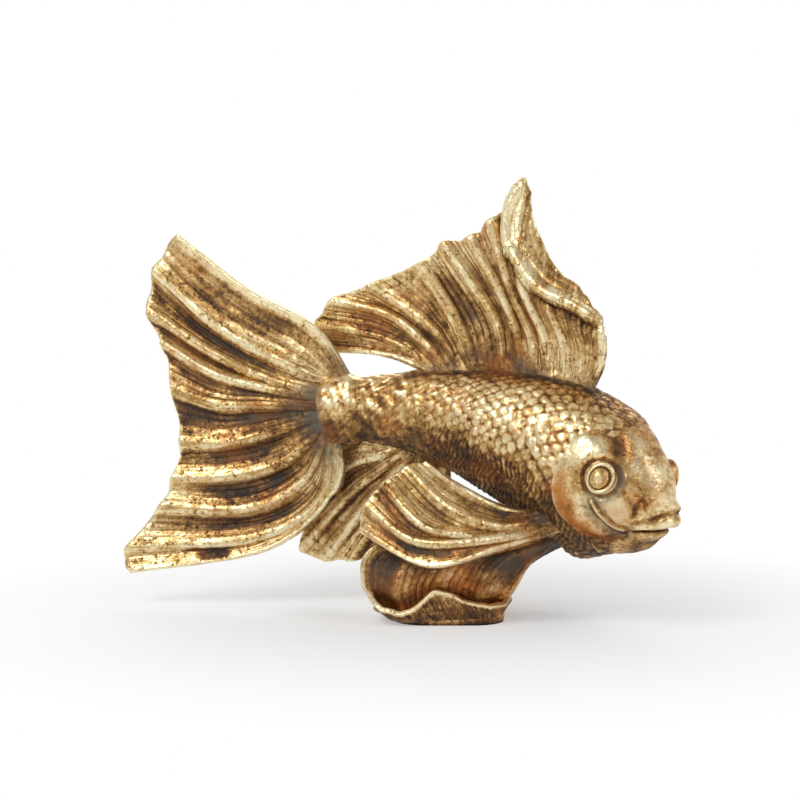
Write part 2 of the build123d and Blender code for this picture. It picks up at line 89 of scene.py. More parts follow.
def gridFaces(index, wrap=False):
    if wrap:
        index = np.concatenate([index, index[:1]], 0)
    a, b, c, d = index[:-1, :-1], index[1:, :-1], index[1:, 1:], index[:-1, 1:]
    return np.stack([a, b, c, d], -1).reshape(-1, 4)


def makePiece(name, points, faces, node, material, values):
    # one mesh piece that stands for a CAD node
    mesh = bpy.data.meshes.new(name)
    mesh.from_pydata((points * mm).tolist(), [], faces.tolist())
    mesh.validate()
    mesh.polygons.foreach_set("use_smooth", np.ones(len(mesh.polygons), bool))
    for label, numbers in values.items():
        numbers = np.asarray(numbers, np.float32)
        if numbers.ndim == 1:
            mesh.attributes.new(label, "FLOAT", "POINT").data.foreach_set("value", numbers)
        else:
            mesh.attributes.new(label, "FLOAT_VECTOR", "POINT").data.foreach_set("vector", numbers.ravel())
    mesh.materials.append(material)
    mesh.update()
    piece = bpy.data.objects.new(name, mesh)
    scene.collection.objects.link(piece)
    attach(piece, "root")
    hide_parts(node)
    print(name, len(mesh.vertices), "points")
    return piece


# the body's base surface
body = {
    "start": (-76.5, 24.0, 117.0), "length": 234.0, "height": 90.0, "width": 73.0,
    "turn": (8.0, 42.0), "pitch": (-10.0, 23.0), "steps": 120,
    # along, up and down of the height, half width of the width
    "stations": [
        (0.00, 0.17, 0.17, 0.12), (0.06, 0.21, 0.21, 0.15), (0.14, 0.22, 0.23, 0.17),
        (0.24, 0.26, 0.27, 0.23), (0.36, 0.32, 0.34, 0.32), (0.50, 0.40, 0.43, 0.42),
        (0.63, 0.46, 0.48, 0.48), (0.73, 0.47, 0.53, 0.50), (0.82, 0.43, 0.51, 0.47),
        (0.90, 0.33, 0.42, 0.38), (0.96, 0.22, 0.31, 0.26), (1.00, 0.06, 0.11, 0.08)],
}
stations = np.array(body["stations"])
halfSizes = stations[:, 1:] * (body["height"], body["height"], body["width"])


def bodyTurn(t):
    return np.radians(body["turn"][0] + (body["turn"][1] - body["turn"][0]) * t)


def bodyPitch(t):
    low, high = body["pitch"]
    return np.radians(low + (high - low) * (1 - (1 - t) ** 2))


def levelAhead(t):
    return np.stack([np.cos(bodyTurn(t)), -np.sin(bodyTurn(t)), 0 * t], -1)


def nearSide(t):
    return np.stack([-np.sin(bodyTurn(t)), -np.cos(bodyTurn(t)), 0 * t], -1)


def bodyAhead(t):
    flat = np.cos(bodyPitch(t))[..., None] * levelAhead(t)
    flat[..., 2] = -np.sin(bodyPitch(t))
    return flat


def traceSpine():
    middles = (np.arange(body["steps"]) + 0.5) / body["steps"]
    moves = bodyAhead(middles) * body["length"] / body["steps"]
    return np.array(body["start"]) + np.concatenate([np.zeros((1, 3)), np.cumsum(moves, 0)])


spinePoints = traceSpine()
spineShares = np.linspace(0, 1, body["steps"] + 1)


def spineAt(t):
    return np.stack([np.interp(t, spineShares, spinePoints[:, i]) for i in range(3)], -1)


def bodyPoint(t, angle, skin=0.0):
    # angle 0 is the ridge, 90 the near side and 180 the belly
    t, angle = np.broadcast_arrays(np.asarray(t, float), np.radians(np.asarray(angle, float)))
    size = through(halfSizes, np.interp(t, stations[:, 0], np.arange(len(stations))))
    upDown = np.where(np.cos(angle) > 0, size[..., 0], size[..., 1])
    near = nearSide(t)
    upward = np.cross(near, bodyAhead(t))
    rise = ((upDown + skin) * np.cos(angle))[..., None]
    side = ((size[..., 2] + skin) * np.sin(angle))[..., None]
    return spineAt(t) + upward * rise + near * side


# materials
def tone(red, green, blue):
    # screen colour to the shader's linear colour
    return tuple(((c / 255 + 0.055) / 1.055) ** 2.4 for c in (red, green, blue)) + (1.0,)


def addNode(tree, kind, inputs=None, **settings):
    made = tree.nodes.new(kind)
    for key, value in settings.items():
        setattr(made, key, value)
    for key, value in (inputs or {}).items():
        if isinstance(value, bpy.types.NodeSocket):
            tree.links.new(value, made.inputs[key])
        else:
            made.inputs[key].default_value = value
    return made


def doMath(tree, operation, a, b=0.0, clamp=False):
    return addNode(tree, "ShaderNodeMath", {0: a, 1: b}, operation=operation, use_clamp=clamp).outputs[0]


def spread(tree, value, low, high, toLow, toHigh):
    made = addNode(tree, "ShaderNodeMapRange", {0: value, 1: low, 2: high, 3: toLow, 4: toHigh}, clamp=True)
    return made.outputs[0]


def colourRamp(tree, value, stops):
    made = addNode(tree, "ShaderNodeValToRGB", {0: value})
    ramp = made.color_ramp
    while len(ramp.elements) < len(stops):
        ramp.elements.new(0.5)
    for element, (place, colour) in zip(ramp.elements, stops):
        element.position = place
        element.color = tone(*colour)
    return made.outputs[0]


def noise(tree, vector, size, detail=3.0, rough=0.55):
    given = {"Vector": vector, "Scale": size, "Detail": detail, "Roughness": rough}
    return addNode(tree, "ShaderNodeTexNoise", given).outputs["Fac"]


def newGroup(name, inputs, outputs):
    tree = bpy.data.node_groups.new(name, "ShaderNodeTree")
    for label, value in inputs:
        tree.interface.new_socket(label, in_out="INPUT", socket_type="NodeSocketFloat").default_value = value
    for label, kind in outputs:
        tree.interface.new_socket(label, in_out="OUTPUT", socket_type=kind)
    return tree, tree.nodes.new("NodeGroupInput").outputs, tree.nodes.new("NodeGroupOutput")


def buildGilt():
    # worn leaf over a brown ground, dark in the hollows and grey-green where dust has settled, with painted shade,
    # painted highlights and painted orange reflection laid in from the masks
    tree, given, result = newGroup(
        "agedGiltAndPaintedLight",
        [("Tarnish", 0.0), ("Streaks", 0.3), ("Blotches", 0.6), ("Grain", 0.4)],
        [("Color", "NodeSocketColor"), ("Roughness", "NodeSocketFloat"),
         ("Metallic", "NodeSocketFloat"), ("Height", "NodeSocketFloat")])
    place = addNode(tree, "ShaderNodeTexCoord").outputs["Object"]
    flow = addNode(tree, "ShaderNodeAttribute", attribute_name="flow").outputs["Vector"]
    # masks: umber glaze in the hollows together with painted shade, worn leaf together with painted highlights,
    # real dust, and painted orange reflection and highlight
    glazeAndShade, wearAndHighlight, dust, paintedWarmLight = (
        addNode(tree, "ShaderNodeAttribute", attribute_name=label).outputs["Fac"]
        for label in ("glazeAndShade", "wearAndHighlight", "dust", "paintedWarmLight"))
    middle = noise(tree, place, 70.0, 6.0, 0.68)
    fine = noise(tree, place, 430.0, 4.0, 0.65)
    streak = noise(tree, flow, 1.0, 4.0, 0.62)
    speck = spread(tree, noise(tree, place, 760.0, 3.0), 0.6, 0.68, 0.0, 1.0)
    pit = spread(tree, noise(tree, place, 260.0, 5.0, 0.7), 0.56, 0.66, 0.0, 1.0)
    # soil and painted shade run from 0 on bare leaf to 1 in the deepest hollow, and painted highlights pull it down
    soilAndPaintedLight = doMath(tree, "ADD", glazeAndShade, given["Tarnish"])
    for value, amount in ((middle, given["Blotches"]), (streak, given["Streaks"]), (fine, given["Grain"])):
        soilAndPaintedLight = doMath(tree, "ADD", soilAndPaintedLight, doMath(tree, "MULTIPLY", doMath(tree, "SUBTRACT", value, 0.5), amount))
    soilAndPaintedLight = doMath(tree, "SUBTRACT", soilAndPaintedLight, doMath(tree, "MULTIPLY", wearAndHighlight, 0.34))
    soilAndPaintedLight = doMath(tree, "ADD", soilAndPaintedLight, doMath(tree, "MULTIPLY", pit, 0.3))
    soilAndPaintedLight = doMath(tree, "ADD", soilAndPaintedLight, doMath(tree, "MULTIPLY", speck, 0.3), clamp=True)
    # the pale end also stands for painted highlight, the darkest end for painted shade
    gold = colourRamp(tree, soilAndPaintedLight, [
        (0.0, (250, 233, 188)), (0.2, (223, 190, 132)), (0.4, (182, 140, 82)),
        (0.58, (132, 93, 52)), (0.78, (84, 56, 34)), (1.0, (48, 36, 26))])
    # random orange tone of the ground, plus painted orange reflection of gold in gold
    warmToneAndPaintedLight = spread(tree, noise(tree, place, 38.0, 3.0), 0.52, 0.74, 0.0, 0.5)
    warmToneAndPaintedLight = doMath(tree, "ADD", warmToneAndPaintedLight, doMath(tree, "MULTIPLY", paintedWarmLight, 0.7), clamp=True)
    gold = addNode(tree, "ShaderNodeMix", {0: warmToneAndPaintedLight, 6: gold, 7: tone(190, 110, 44)}, data_type="RGBA").outputs[2]
    dusty = doMath(tree, "MULTIPLY", dust, spread(tree, middle, 0.3, 0.6, 0.35, 1.0), clamp=True)
    gold = addNode(tree, "ShaderNodeMix", {0: dusty, 6: gold, 7: tone(112, 106, 86)}, data_type="RGBA").outputs[2]
    tree.links.new(gold, result.inputs["Color"])
    rough = doMath(tree, "ADD", spread(tree, soilAndPaintedLight, 0.1, 0.9, 0.24, 0.55), doMath(tree, "MULTIPLY", fine, 0.14))
    rough = doMath(tree, "MAXIMUM", rough, doMath(tree, "MULTIPLY", dusty, 0.75))
    tree.links.new(rough, result.inputs["Roughness"])
    metal = spread(tree, soilAndPaintedLight, 0.35, 0.95, 0.92, 0.35)
    tree.links.new(doMath(tree, "SUBTRACT", metal, dusty, clamp=True), result.inputs["Metallic"])
    height = doMath(tree, "ADD", doMath(tree, "MULTIPLY", fine, 0.6), doMath(tree, "MULTIPLY", middle, 0.7))
    marks = doMath(tree, "ADD", doMath(tree, "MULTIPLY", speck, 0.3), doMath(tree, "MULTIPLY", pit, 0.4))
    tree.links.new(doMath(tree, "SUBTRACT", height, marks), result.inputs["Height"])
    return tree


giltGroup = buildGilt()


def giltMaterial(name, values, bump):
    material = bpy.data.materials.new(name)
    material.use_nodes = True
    tree = material.node_tree
    shader = tree.nodes["Principled BSDF"]
    gilt = addNode(tree, "ShaderNodeGroup", node_tree=giltGroup)
    for label, value in values.items():
        gilt.inputs[label].default_value = value
    for label, socket in (("Color", "Base Color"), ("Roughness", "Roughness"), ("Metallic", "Metallic")):
        tree.links.new(gilt.outputs[label], shader.inputs[socket])
    relief = addNode(tree, "ShaderNodeBump", {
        "Height": gilt.outputs["Height"], "Strength": bump, "Distance": 0.0008})
    tree.links.new(relief.outputs[0], shader.inputs["Normal"])
    return material


giltBody = giltMaterial("gilt_body", {"Tarnish": 0.06, "Streaks": 0.15, "Blotches": 1.0, "Grain": 0.8}, 0.7)
giltHead = giltMaterial("gilt_head", {"Tarnish": 0.07, "Streaks": 0.1, "Blotches": 1.0, "Grain": 0.8}, 0.6)
giltFins = giltMaterial("gilt_fins", {"Tarnish": 0.21, "Streaks": 1.0, "Blotches": 0.9, "Grain": 0.7}, 0.8)
giltEyes = giltMaterial("gilt_eyes", {"Tarnish": 0.08, "Streaks": 0.1, "Blotches": 0.6, "Grain": 0.5}, 0.35)
giltFoot = giltMaterial("gilt_foot", {"Tarnish": 0.14, "Streaks": 1.1, "Blotches": 1.0, "Grain": 0.8}, 0.8)
plainPins = giltMaterial("pins", {"Tarnish": 0.3, "Streaks": 0.0, "Blotches": 0.5}, 0.3)
print("materials made")


# scales and torso
def scaleRelief(x, y):
    # overlapping scales: x counts rows toward the tail, y counts scales around
    # besides the lift, it returns painted shade along each scale's edge and under the overlapping edge, and a
    # painted highlight on each crown
    chance = np.random.default_rng(11).uniform(0, 1, (4, 997))
    lift, shade, crownHighlight = np.zeros_like(x), np.ones_like(x), np.zeros_like(x)
    taken = np.zeros(x.shape, bool)
    under = np.full(x.shape, 9.0)
    for step in (-2, -1, 0, 1):
        row = np.floor(x) + step
        shift = np.where(row % 2 == 0, 0.0, 0.5)
        column = np.round(y - shift) + shift
        pick = (np.round(row * 53 + np.round(y - shift) * 17) % 997).astype(int)
        along = x - row - 0.28 * (chance[0][pick] - 0.5)
        across = y - column - 0.16 * (chance[1][pick] - 0.5)
        off = np.sqrt((along / 1.34) ** 2 + (across / (0.5 + 0.12 * chance[2][pick])) ** 2)
        inside = (off < 1) & (along >= 0)
        use = inside & ~taken
        crown = (1 - off ** 4) * (0.7 + 0.6 * chance[3][pick])
        lift = np.where(use, (0.25 + 0.75 * np.clip(along / 1.2, 0, 1)) * crown, lift)
        shade = np.where(use, np.clip((off - 0.8) / 0.2, 0, 1) * 0.5 + 0.7 * bell(under, 0.2), shade)
        crownHighlight = np.where(use, crown * np.clip(along / 1.0, 0, 1) * (0.3 + 0.9 * chance[0][pick]), crownHighlight)
        taken |= inside
        under = np.where(~taken, np.minimum(under, np.where(along >= 0, off - 1, 9.0)), under)
    return lift, np.clip(shade, 0, 1), np.clip(crownHighlight, 0, 1)


torso = {
    "columns": 344, "rows": 270, "scalesAround": 34, "scaleHeight": 1.25, "rowPitch": 0.80,
    "ridgeFrom": 0.20, "ridgeTo": 0.69, "ridgeHeight": 1.4, "padTo": 0.098, "padHeight": 2.2,
}
# where the head's rear edge runs: angle from the ridge, share along
headEdge = np.array([
    (0, 0.826), (14, 0.824), (28, 0.806), (38, 0.790), (47, 0.766), (54, 0.750), (62, 0.738), (72, 0.731),
    (84, 0.725), (94, 0.724), (102, 0.730), (110, 0.744), (116, 0.764), (121, 0.795), (126, 0.828),
    (131, 0.862), (140, 0.880), (155, 0.872), (168, 0.862), (180, 0.858)])


def fold180(angle):
    return np.abs((np.asarray(angle) + 180) % 360 - 180)


def headStart(angle):
    return np.interp(fold180(angle), headEdge[:, 0], through(headEdge[:, 1], np.arange(len(headEdge))))


def girthAt(t):
    size = through(halfSizes, np.interp(t, stations[:, 0], np.arange(len(stations))))
    return math.pi * (size[..., 0] + size[..., 1]) / 2 + math.pi * size[..., 2]


def makeTorso():
    columns, rows = torso["columns"], torso["rows"]
    angle = np.linspace(0, 360, columns, endpoint=False)[:, None]
    t = np.linspace(0, 1, rows)[None, :] * (headStart(angle) + 0.022)
    around = angle / 360 * girthAt(t)
    along = t * body["length"]
    # rows of scales keep step with their width
    line = np.linspace(0, 1, 600)
    pitch = girthAt(line) / torso["scalesAround"] * torso["rowPitch"]
    counter = np.concatenate([[0], np.cumsum(body["length"] / 599 / ((pitch[1:] + pitch[:-1]) / 2))])
    x = counter[-1] - np.interp(t, line, counter)
    y = angle / 360 * torso["scalesAround"] + 0 * t
    x = x + 0.2 * wander(x, y, 3, 1.8)
    y = y + 0.16 * wander(x, y, 4, 1.9)
    lift, shade, crownHighlight = scaleRelief(x, y)
    folded = fold180(angle)
    belly = ease(84, 112, folded + 7 * wander(along / 9, around / 9, 14))
    # scales fade toward the tail and under the bare crown
    crown = (1 - ease(40, 56, folded)) * ease(0.0, 1.0, 1 - (headStart(angle) - t) / 0.06)
    scaly = ease(0.24, 0.42, t) * (1 - 0.85 * np.clip(crown, 0, 1))
    pits = wander(along / 1.3, around / 1.3, 8) + 0.6 * wander(along / 0.7, around / 0.7, 12)
    lumps = wander(along / 3.4, around / 3.4, 13)
    # short wavy strokes low on the flank
    sway = 0.9 * wander(along / 5, around / 3, 15)
    strokes = np.abs(np.sin(math.pi * (along / 3.6 + sway + 0.25 * around / 3.6)))
    fineScale = scaly * belly
    scaly = scaly * (1 - 0.6 * belly)
    patchy = np.clip(0.8 + 0.45 * wander(along / 7, around / 7, 16), 0.2, 1.3)
    skin = torso["scaleHeight"] * (lift - 0.5) * scaly * patchy + (1 - scaly) * (0.2 * pits + 0.25 * lumps)
    skin = skin + 0.14 * pits + 0.9 * (strokes - 0.6) * fineScale
    skin = skin + 0.4 * wander(along / 15, around / 15, 9)
    # a thick pad with a rounded edge clasps the tail
    pad = ease(-0.004, 0.022, t) * (1 - ease(torso["padTo"] - 0.014, torso["padTo"] + 0.010, t + 0.006 * lumps))
    skin = skin + torso["padHeight"] * pad - 0.7 * bell(t - torso["padTo"] - 0.02, 0.012)
    # a bead along the dorsal fin's foot, and a full breast behind the jaw
    fromRidge = folded / 360 * girthAt(t)
    ridgeFrom, ridgeTo = torso["ridgeFrom"], torso["ridgeTo"]
    length = ease(ridgeFrom, ridgeFrom + 0.05, t) * (1 - ease(ridgeTo, ridgeTo + 0.03, t))
    bead = bell(fromRidge, 4.4) * length
    skin = skin * (1 - 0.7 * bead) + torso["ridgeHeight"] * bead
    skin = skin + 4.5 * bell(t - 0.80, 0.05) * ease(135, 172, folded)
    # the bare crown dips under the head without a step
    skin = skin - 1.8 * ease(-0.01, 0.018, t - headStart(angle)) * (1 - ease(58, 72, folded))
    grid = bodyPoint(t, angle + 0 * t, skin)
    bare = (1 - ease(0.24, 0.42, t)) * (1 - belly)
    # painted shade darkens the lower flank and belly, the top of the back beside the ridge, the groove behind the
    # pad and the line beside the bead, on top of glaze at the scale edges
    glazeAndShade = 0.42 * shade * scaly + 0.10 - 0.12 * pits - 0.08 * lumps * (1 - scaly)
    glazeAndShade = glazeAndShade + 0.16 * bare * (1 - pad) + 0.3 * belly
    glazeAndShade = glazeAndShade + 0.4 * (1 - strokes) * fineScale + 0.12 * (1 - scaly) * belly
    glazeAndShade = glazeAndShade + 0.3 * bell(t - torso["padTo"] - 0.022, 0.012) * np.clip(0.6 - 0.5 * lumps, 0, 1)
    glazeAndShade = glazeAndShade + 0.35 * bell(fromRidge - 7.0, 3.2) * length
    glazeAndShade = glazeAndShade + 0.26 * (1 - ease(8, 44, folded)) * ease(0.24, 0.42, t)
    # painted highlights on the scale crowns, the upper flank and the stroke crests, with worn bright specks on the
    # bare tail end
    wearAndHighlight = crownHighlight * scaly * (1 - 0.75 * belly) * ease(16, 46, folded) + 0.6 * bare * np.clip(pits + 0.6 * pad, 0, 1)
    wearAndHighlight = wearAndHighlight + 0.55 * bell(folded - 62, 20) * ease(0.3, 0.45, t) * np.clip(0.4 + lumps, 0, 1)
    wearAndHighlight = wearAndHighlight + 0.5 * strokes * fineScale * np.clip(0.3 + lumps, 0, 1)
    dust = 0.9 * bead * np.clip(0.6 + 0.5 * pits, 0, 1) + 0.75 * bell(t, 0.012)
    dust = dust + 0.5 * ease(0.0, 1, shade) * ease(110, 150, folded)
    # both ends close over the hollow
    first = spineAt(np.zeros(1)) + (grid[:, :1] - spineAt(np.zeros(1))) * 0.02
    last = grid[:, -1:].mean(0, keepdims=True) + (grid[:, -1:] - grid[:, -1:].mean(0, keepdims=True)) * 0.02
    grid = np.concatenate([first, grid, last], 1)

    def withEnds(values):
        return np.clip(np.concatenate([values[:, :1], values, values[:, -1:]], 1), 0, 1).ravel()

    flow = np.stack([np.pad(t * 30, ((0, 0), (1, 1)), "edge"), np.pad(angle / 4 + 0 * t, ((0, 0), (1, 1)), "edge"),
                     0 * grid[..., 0]], -1)
    index = np.arange(grid.shape[0] * grid.shape[1]).reshape(grid.shape[:2])
    return makePiece("torso_skin", grid.reshape(-1, 3), gridFaces(index, True), "torso", giltBody, {
        "glazeAndShade": withEnds(glazeAndShade), "wearAndHighlight": withEnds(wearAndHighlight), "dust": withEnds(dust), "flow": flow.reshape(-1, 3)})


makeTorso()

# head
head = {
    "columns": 420, "rows": 184, "capRows": 22, "gillLift": 2.3,
    "muzzle": (8.5, 11.0, 10.5), "muzzleShare": 0.965, "muzzleDrop": 3.0,
    "mouthDrop": 7.5, "mouthCorner": 0.925,
    "rightEye": (0.8475, 77.0), "leftEye": (0.882, -76.0),
    # share along, angle: lines drawn on the right side, mirrored on the left
    "crescent": [(0.848, 99), (0.860, 103), (0.874, 107), (0.895, 112), (0.915, 116), (0.935, 118)],
    "cheekFront": [(0.946, 100), (0.946, 94), (0.930, 86), (0.912, 80), (0.890, 66), (0.874, 60)],
    "brow": [(0.790, 38), (0.812, 38), (0.835, 41), (0.855, 46), (0.875, 52), (0.905, 52), (0.934, 58),
             (0.955, 66)],
    "ridge": [(0.841, 22), (0.880, 30), (0.907, 37), (0.945, 46), (0.978, 54)],
    "nostril": [(0.947, 92), (0.949, 82), (0.955, 77), (0.962, 80), (0.965, 88)],
    "jaw": [(0.840, 127), (0.862, 129), (0.890, 131), (0.914, 129), (0.935, 126)],
    "cheek": [(0.912, 96), (0.925, 102)],
    "gillDome": [(0.782, 62), (0.800, 58)],
}


def lineDistance(points, track):
    # how far each point is from a line of points, and where along it
    far = np.full(len(points), 1e9)
    where = np.zeros(len(points))
    for number, spot in enumerate(track):
        step = np.linalg.norm(points - spot, axis=1)
        closer = step < far
        far = np.where(closer, step, far)
        where = np.where(closer, number / max(len(track) - 1, 1), where)
    return far, where


def skinTrack(marks, side, count=48):
    marks = np.array(marks, float)
    if len(marks) > 1:
        marks = through(marks, np.linspace(0, len(marks) - 1, count))
    return bodyPoint(marks[:, 0], marks[:, 1] * side)


def makeHead():
    columns, rows = head["columns"], head["rows"]
    angle = np.linspace(0, 360, columns, endpoint=False)[:, None]
    share = np.linspace(0, 1, rows)[None, :]
    start = headStart(angle)
    t = start + (1 - start) * share
    folded = fold180(angle)
    plate = ease(46, 58, folded) * (1 - ease(126, 146, folded))  # the gill cover's reach round the side
    back = (t - start) * body["length"]
    edge = ease(0, 1.5 + 11 * (1 - plate), back)
    lift = (0.1 + (head["gillLift"] - 0.1) * plate) * (1 - ease(4, 34, back) * 0.9)
    sunk = 1.1 + 0.5 * plate
    skin = -sunk + (sunk + lift) * edge
    # the far cheek is slimmer, so that its eye stands clear
    leftEye = bodyPoint(np.array([head["leftEye"][0]]), np.array([head["leftEye"][1]]))
    farEye = np.linalg.norm(bodyPoint(t, angle + 0 * t) - leftEye, axis=-1)
    farCheek = bell((angle + 180) % 360 - 180 + 66, 46) * ease(0.80, 0.91, t) * (1 - ease(0.98, 1.0, t))
    skin = skin - 11.0 * farCheek * (1 - 0.6 * bell(farEye, 9.0))
    grid = bodyPoint(t, angle + 0 * t, skin)
    # cap over the snout
    tip = spineAt(np.ones(1))
    close = np.linspace(0, 1, head["capRows"] + 1)[1:]
    rim = grid[:, -1:]
    cap = tip + (rim - tip) * (1 - close[None, :, None] * 0.999)
    grid = np.concatenate([grid, cap], 1)
    tAll = np.concatenate([t, np.ones((columns, head["capRows"]))], 1)
    backAll = np.concatenate([back, np.repeat(back[:, -1:], head["capRows"], 1)], 1)
    # push the snout out to the muzzle
    forward, nearOne = levelAhead(np.array(1.0)), nearSide(np.array(1.0))
    centre = spineAt(np.array(head["muzzleShare"])) - np.array((0, 0, head["muzzleDrop"]))
    arm = grid - centre
    far = np.linalg.norm(arm, axis=-1)
    parts = np.stack([arm @ forward, arm @ nearOne, arm[..., 2]], -1) / np.maximum(far, 1e-6)[..., None]
    reach = 1 / np.sqrt(((parts / np.array(head["muzzle"])) ** 2).sum(-1))
    soft = 3.0
    grown = soft * np.logaddexp(far / soft, reach / soft)
    grown = np.maximum(grown - soft * math.log(2) * bell(far - reach, 5.0), np.maximum(far, reach))
    grid = centre + arm * np.where(far > 1e-6, grown / np.maximum(far, 1e-6), 1)[..., None]
    normal = gridNormals(grid, True)
    outward = np.sign(((grid - centre) * normal).sum(-1).mean())
    normal = normal * outward
    flat = grid.reshape(-1, 3)
    move = np.zeros(len(flat))
    glazeAndShade = np.zeros(len(flat))
    wearAndHighlight = np.zeros(len(flat))
    dust = np.zeros(len(flat))
    paintedWarmLight = np.zeros(len(flat))
    for side, eye in ((1, head["rightEye"]), (-1, head["leftEye"])):
        off = {}
        for line in ("crescent", "cheekFront", "brow", "ridge", "nostril", "jaw", "cheek", "gillDome"):
            off[line], place = lineDistance(flat, skinTrack(head[line], side))
            if line == "brow":
                deep = 0.3 * (1 - ease(0.6, 0.95, place)) + 0.7 * bell(place - 0.28, 0.24)
        eyeAt = bodyPoint(np.array([eye[0]]), np.array([eye[1]]))
        eyeFar, _ = lineDistance(flat, eyeAt)
        below = ease(-3, 6, (flat - eyeAt) @ (levelAhead(np.array(0.85)) * 0.75 - np.array((0, 0, 0.65))))
        # cheek plate and brow, then the lines between them
        near = 1.0 if side > 0 else 0.3
        swell = 2.0 * bell(off["cheek"], 8.0) + 1.0 * bell(off["gillDome"], 11.0) + 0.7 * bell(off["ridge"], 7.0)
        move += near * swell
        move += 1.3 * bell(off["crescent"], 0.9) - 0.7 * bell(off["crescent"] - 2.4, 1.2) * (off["cheek"] > 6)
        move += -0.7 * bell(off["cheekFront"], 2.8) - 3.0 * deep * bell(off["brow"], 7.2)
        move += -0.9 * bell(off["nostril"], 1.1) + 0.7 * bell(off["nostril"] - 2.6, 1.1)
        move += -1.4 * bell(off["jaw"] - 1.5, 1.4) + 1.1 * bell(off["jaw"] + 1.0, 1.8)
        move += -1.3 * bell(eyeFar - 10.6, 1.2) + 0.8 * bell(eyeFar - 14.0, 2.4)
        # glaze with painted shade along the crescent, cheek front, brow groove, nostril, jaw and round the eye
        # socket; painted highlights with wear on the crescent, cheek, gill dome, ridge and jaw; a painted orange
        # highlight beside the brow groove; real dust below the eye
        glazeAndShade += 0.45 * bell(off["crescent"] - 2.0, 1.0) * (off["cheek"] > 6) + 0.4 * bell(off["cheekFront"], 1.9)
        glazeAndShade += (0.16 + 0.6 * deep) * bell(off["brow"], 7.0) + 0.3 * bell(off["nostril"], 1.2)
        glazeAndShade += 0.5 * bell(off["jaw"] - 1.6, 1.6)
        glazeAndShade += 0.6 * bell(eyeFar - 10.2, 1.2) + 0.16 * bell(eyeFar - 12.5, 3.0)
        wearAndHighlight += 0.9 * bell(off["crescent"], 0.9) + 0.6 * bell(off["cheek"], 6.0) + 0.75 * bell(off["gillDome"], 9.0)
        wearAndHighlight += 0.35 * bell(off["ridge"], 5.0) + 0.4 * bell(off["jaw"] + 1.0, 1.4)
        dust += 0.95 * below * bell(eyeFar - 12.0, 2.6)
        dust += 0.6 * bell(off["crescent"] - 4.0, 2.4) * (off["cheek"] > 7)
        paintedWarmLight += 0.5 * bell(off["brow"] - 6.0, 4.0) * (1 - deep)
    # mouth: a slit with a thick upper lip, a crease above it and a rounded chin
    level = spineAt(np.array(1.0))[2] - head["mouthDrop"]
    corner = spineAt(np.array(head["mouthCorner"]))
    ahead = (flat - corner) @ forward
    droop = flat[:, 2] - (level + 0.13 * (ahead - 16) - 1.2 * bell(ahead - 10, 6))
    gape = ease(-3, 4, ahead)
    full = 0.35 + 0.65 * ease(2, 18, ahead)
    crease = droop - 3.6 - 4.6 * full
    lips = 2.0 * full * bell(droop - 3.2, 2.6) + 1.2 * full * bell(droop + 3.2, 2.2)
    move += gape * (-2.8 * bell(droop, 0.7) + lips)
    move += gape * (-1.1 * bell(crease, 1.6) - 0.7 * bell(droop + 8.0, 1.8))
    underlip = 4.6 * ease(6, 20, ahead) * bell(droop + 3.6, 3.2) * (droop < 0)
    # painted shade in the mouth slit and creases, painted highlights on the lips
    glazeAndShade += gape * (1.0 * bell(droop, 0.75) + 0.4 * bell(crease, 1.5) + 0.35 * bell(droop + 8.0, 1.8))
    wearAndHighlight += gape * full * (0.8 * bell(droop - 3.0, 1.5) + 0.5 * bell(droop + 2.9, 1.2))
    # uneven casting, the gill cover's rear edge worn bright, painted shade in the seam behind it and on the
    # underside, and darker at the crown near the torso
    uneven = wander(flat[:, 0] / 7, flat[:, 2] / 7 + flat[:, 1] / 9, 21)
    grit = wander(flat[:, 0] / 1.8, flat[:, 2] / 1.8 + flat[:, 1] / 2.4, 22)
    move += 0.3 * uneven + 0.14 * grit
    flatBack = backAll.ravel()
    move *= ease(1.0, 4.0, flatBack)
    side = np.repeat(folded.ravel(), grid.shape[1])
    onPlate = np.repeat(plate.ravel(), grid.shape[1])
    glazeAndShade += 0.3 * ease(104, 150, side) + 0.55 * bell(flatBack, 0.9) * onPlate + 0.12 * grit + 0.16 * uneven
    glazeAndShade += 0.22 * (1 - ease(20, 52, side)) * bell(flatBack - 4, 14)
    glazeAndShade += 0.2 * bell(flatBack - 9.0, 5.0) * bell(side - 118, 18)
    wearAndHighlight += 0.5 * bell(flatBack - 2.2, 1.6) * onPlate
    # painted orange reflection low on the cheek and on the crown
    paintedWarmLight += 0.9 * bell(flatBack - 8.0, 8.0) * bell(side - 108, 22)
    paintedWarmLight += 0.5 * bell(side - 16, 18) * bell(flatBack - 8, 10)
    flat = flat + normal.reshape(-1, 3) * move[:, None] + forward * underlip[:, None]
    flow = np.stack([tAll * 30, np.repeat(angle, grid.shape[1], 1) / 4, 0 * tAll], -1)
    index = np.arange(len(flat)).reshape(grid.shape[:2])
    return makePiece("head_skin", flat, gridFaces(index, True), "head", giltHead, {
        "glazeAndShade": np.clip(glazeAndShade, 0, 1), "wearAndHighlight": np.clip(wearAndHighlight, 0, 1), "dust": np.clip(dust, 0, 1),
        "paintedWarmLight": np.clip(paintedWarmLight, 0, 1), "flow": flow.reshape(-1, 3)})


makeHead()

# eyes, turned bosses with a ring, a groove and a dome
eyes = {
    "segments": 84,
    # radius, lift
    "profile": [
        (9.5, -6.0), (9.6, -0.6), (9.6, 0.6), (9.45, 1.4), (9.05, 2.1), (8.5, 2.5), (7.9, 2.55), (7.4, 2.3),
        (7.05, 1.8), (6.8, 1.35), (6.55, 1.2), (6.3, 1.35), (6.1, 1.8), (5.8, 2.4), (5.2, 2.9), (4.5, 3.4),
        (3.7, 3.9), (2.6, 4.3), (1.4, 4.5), (0.02, 4.55)],
}


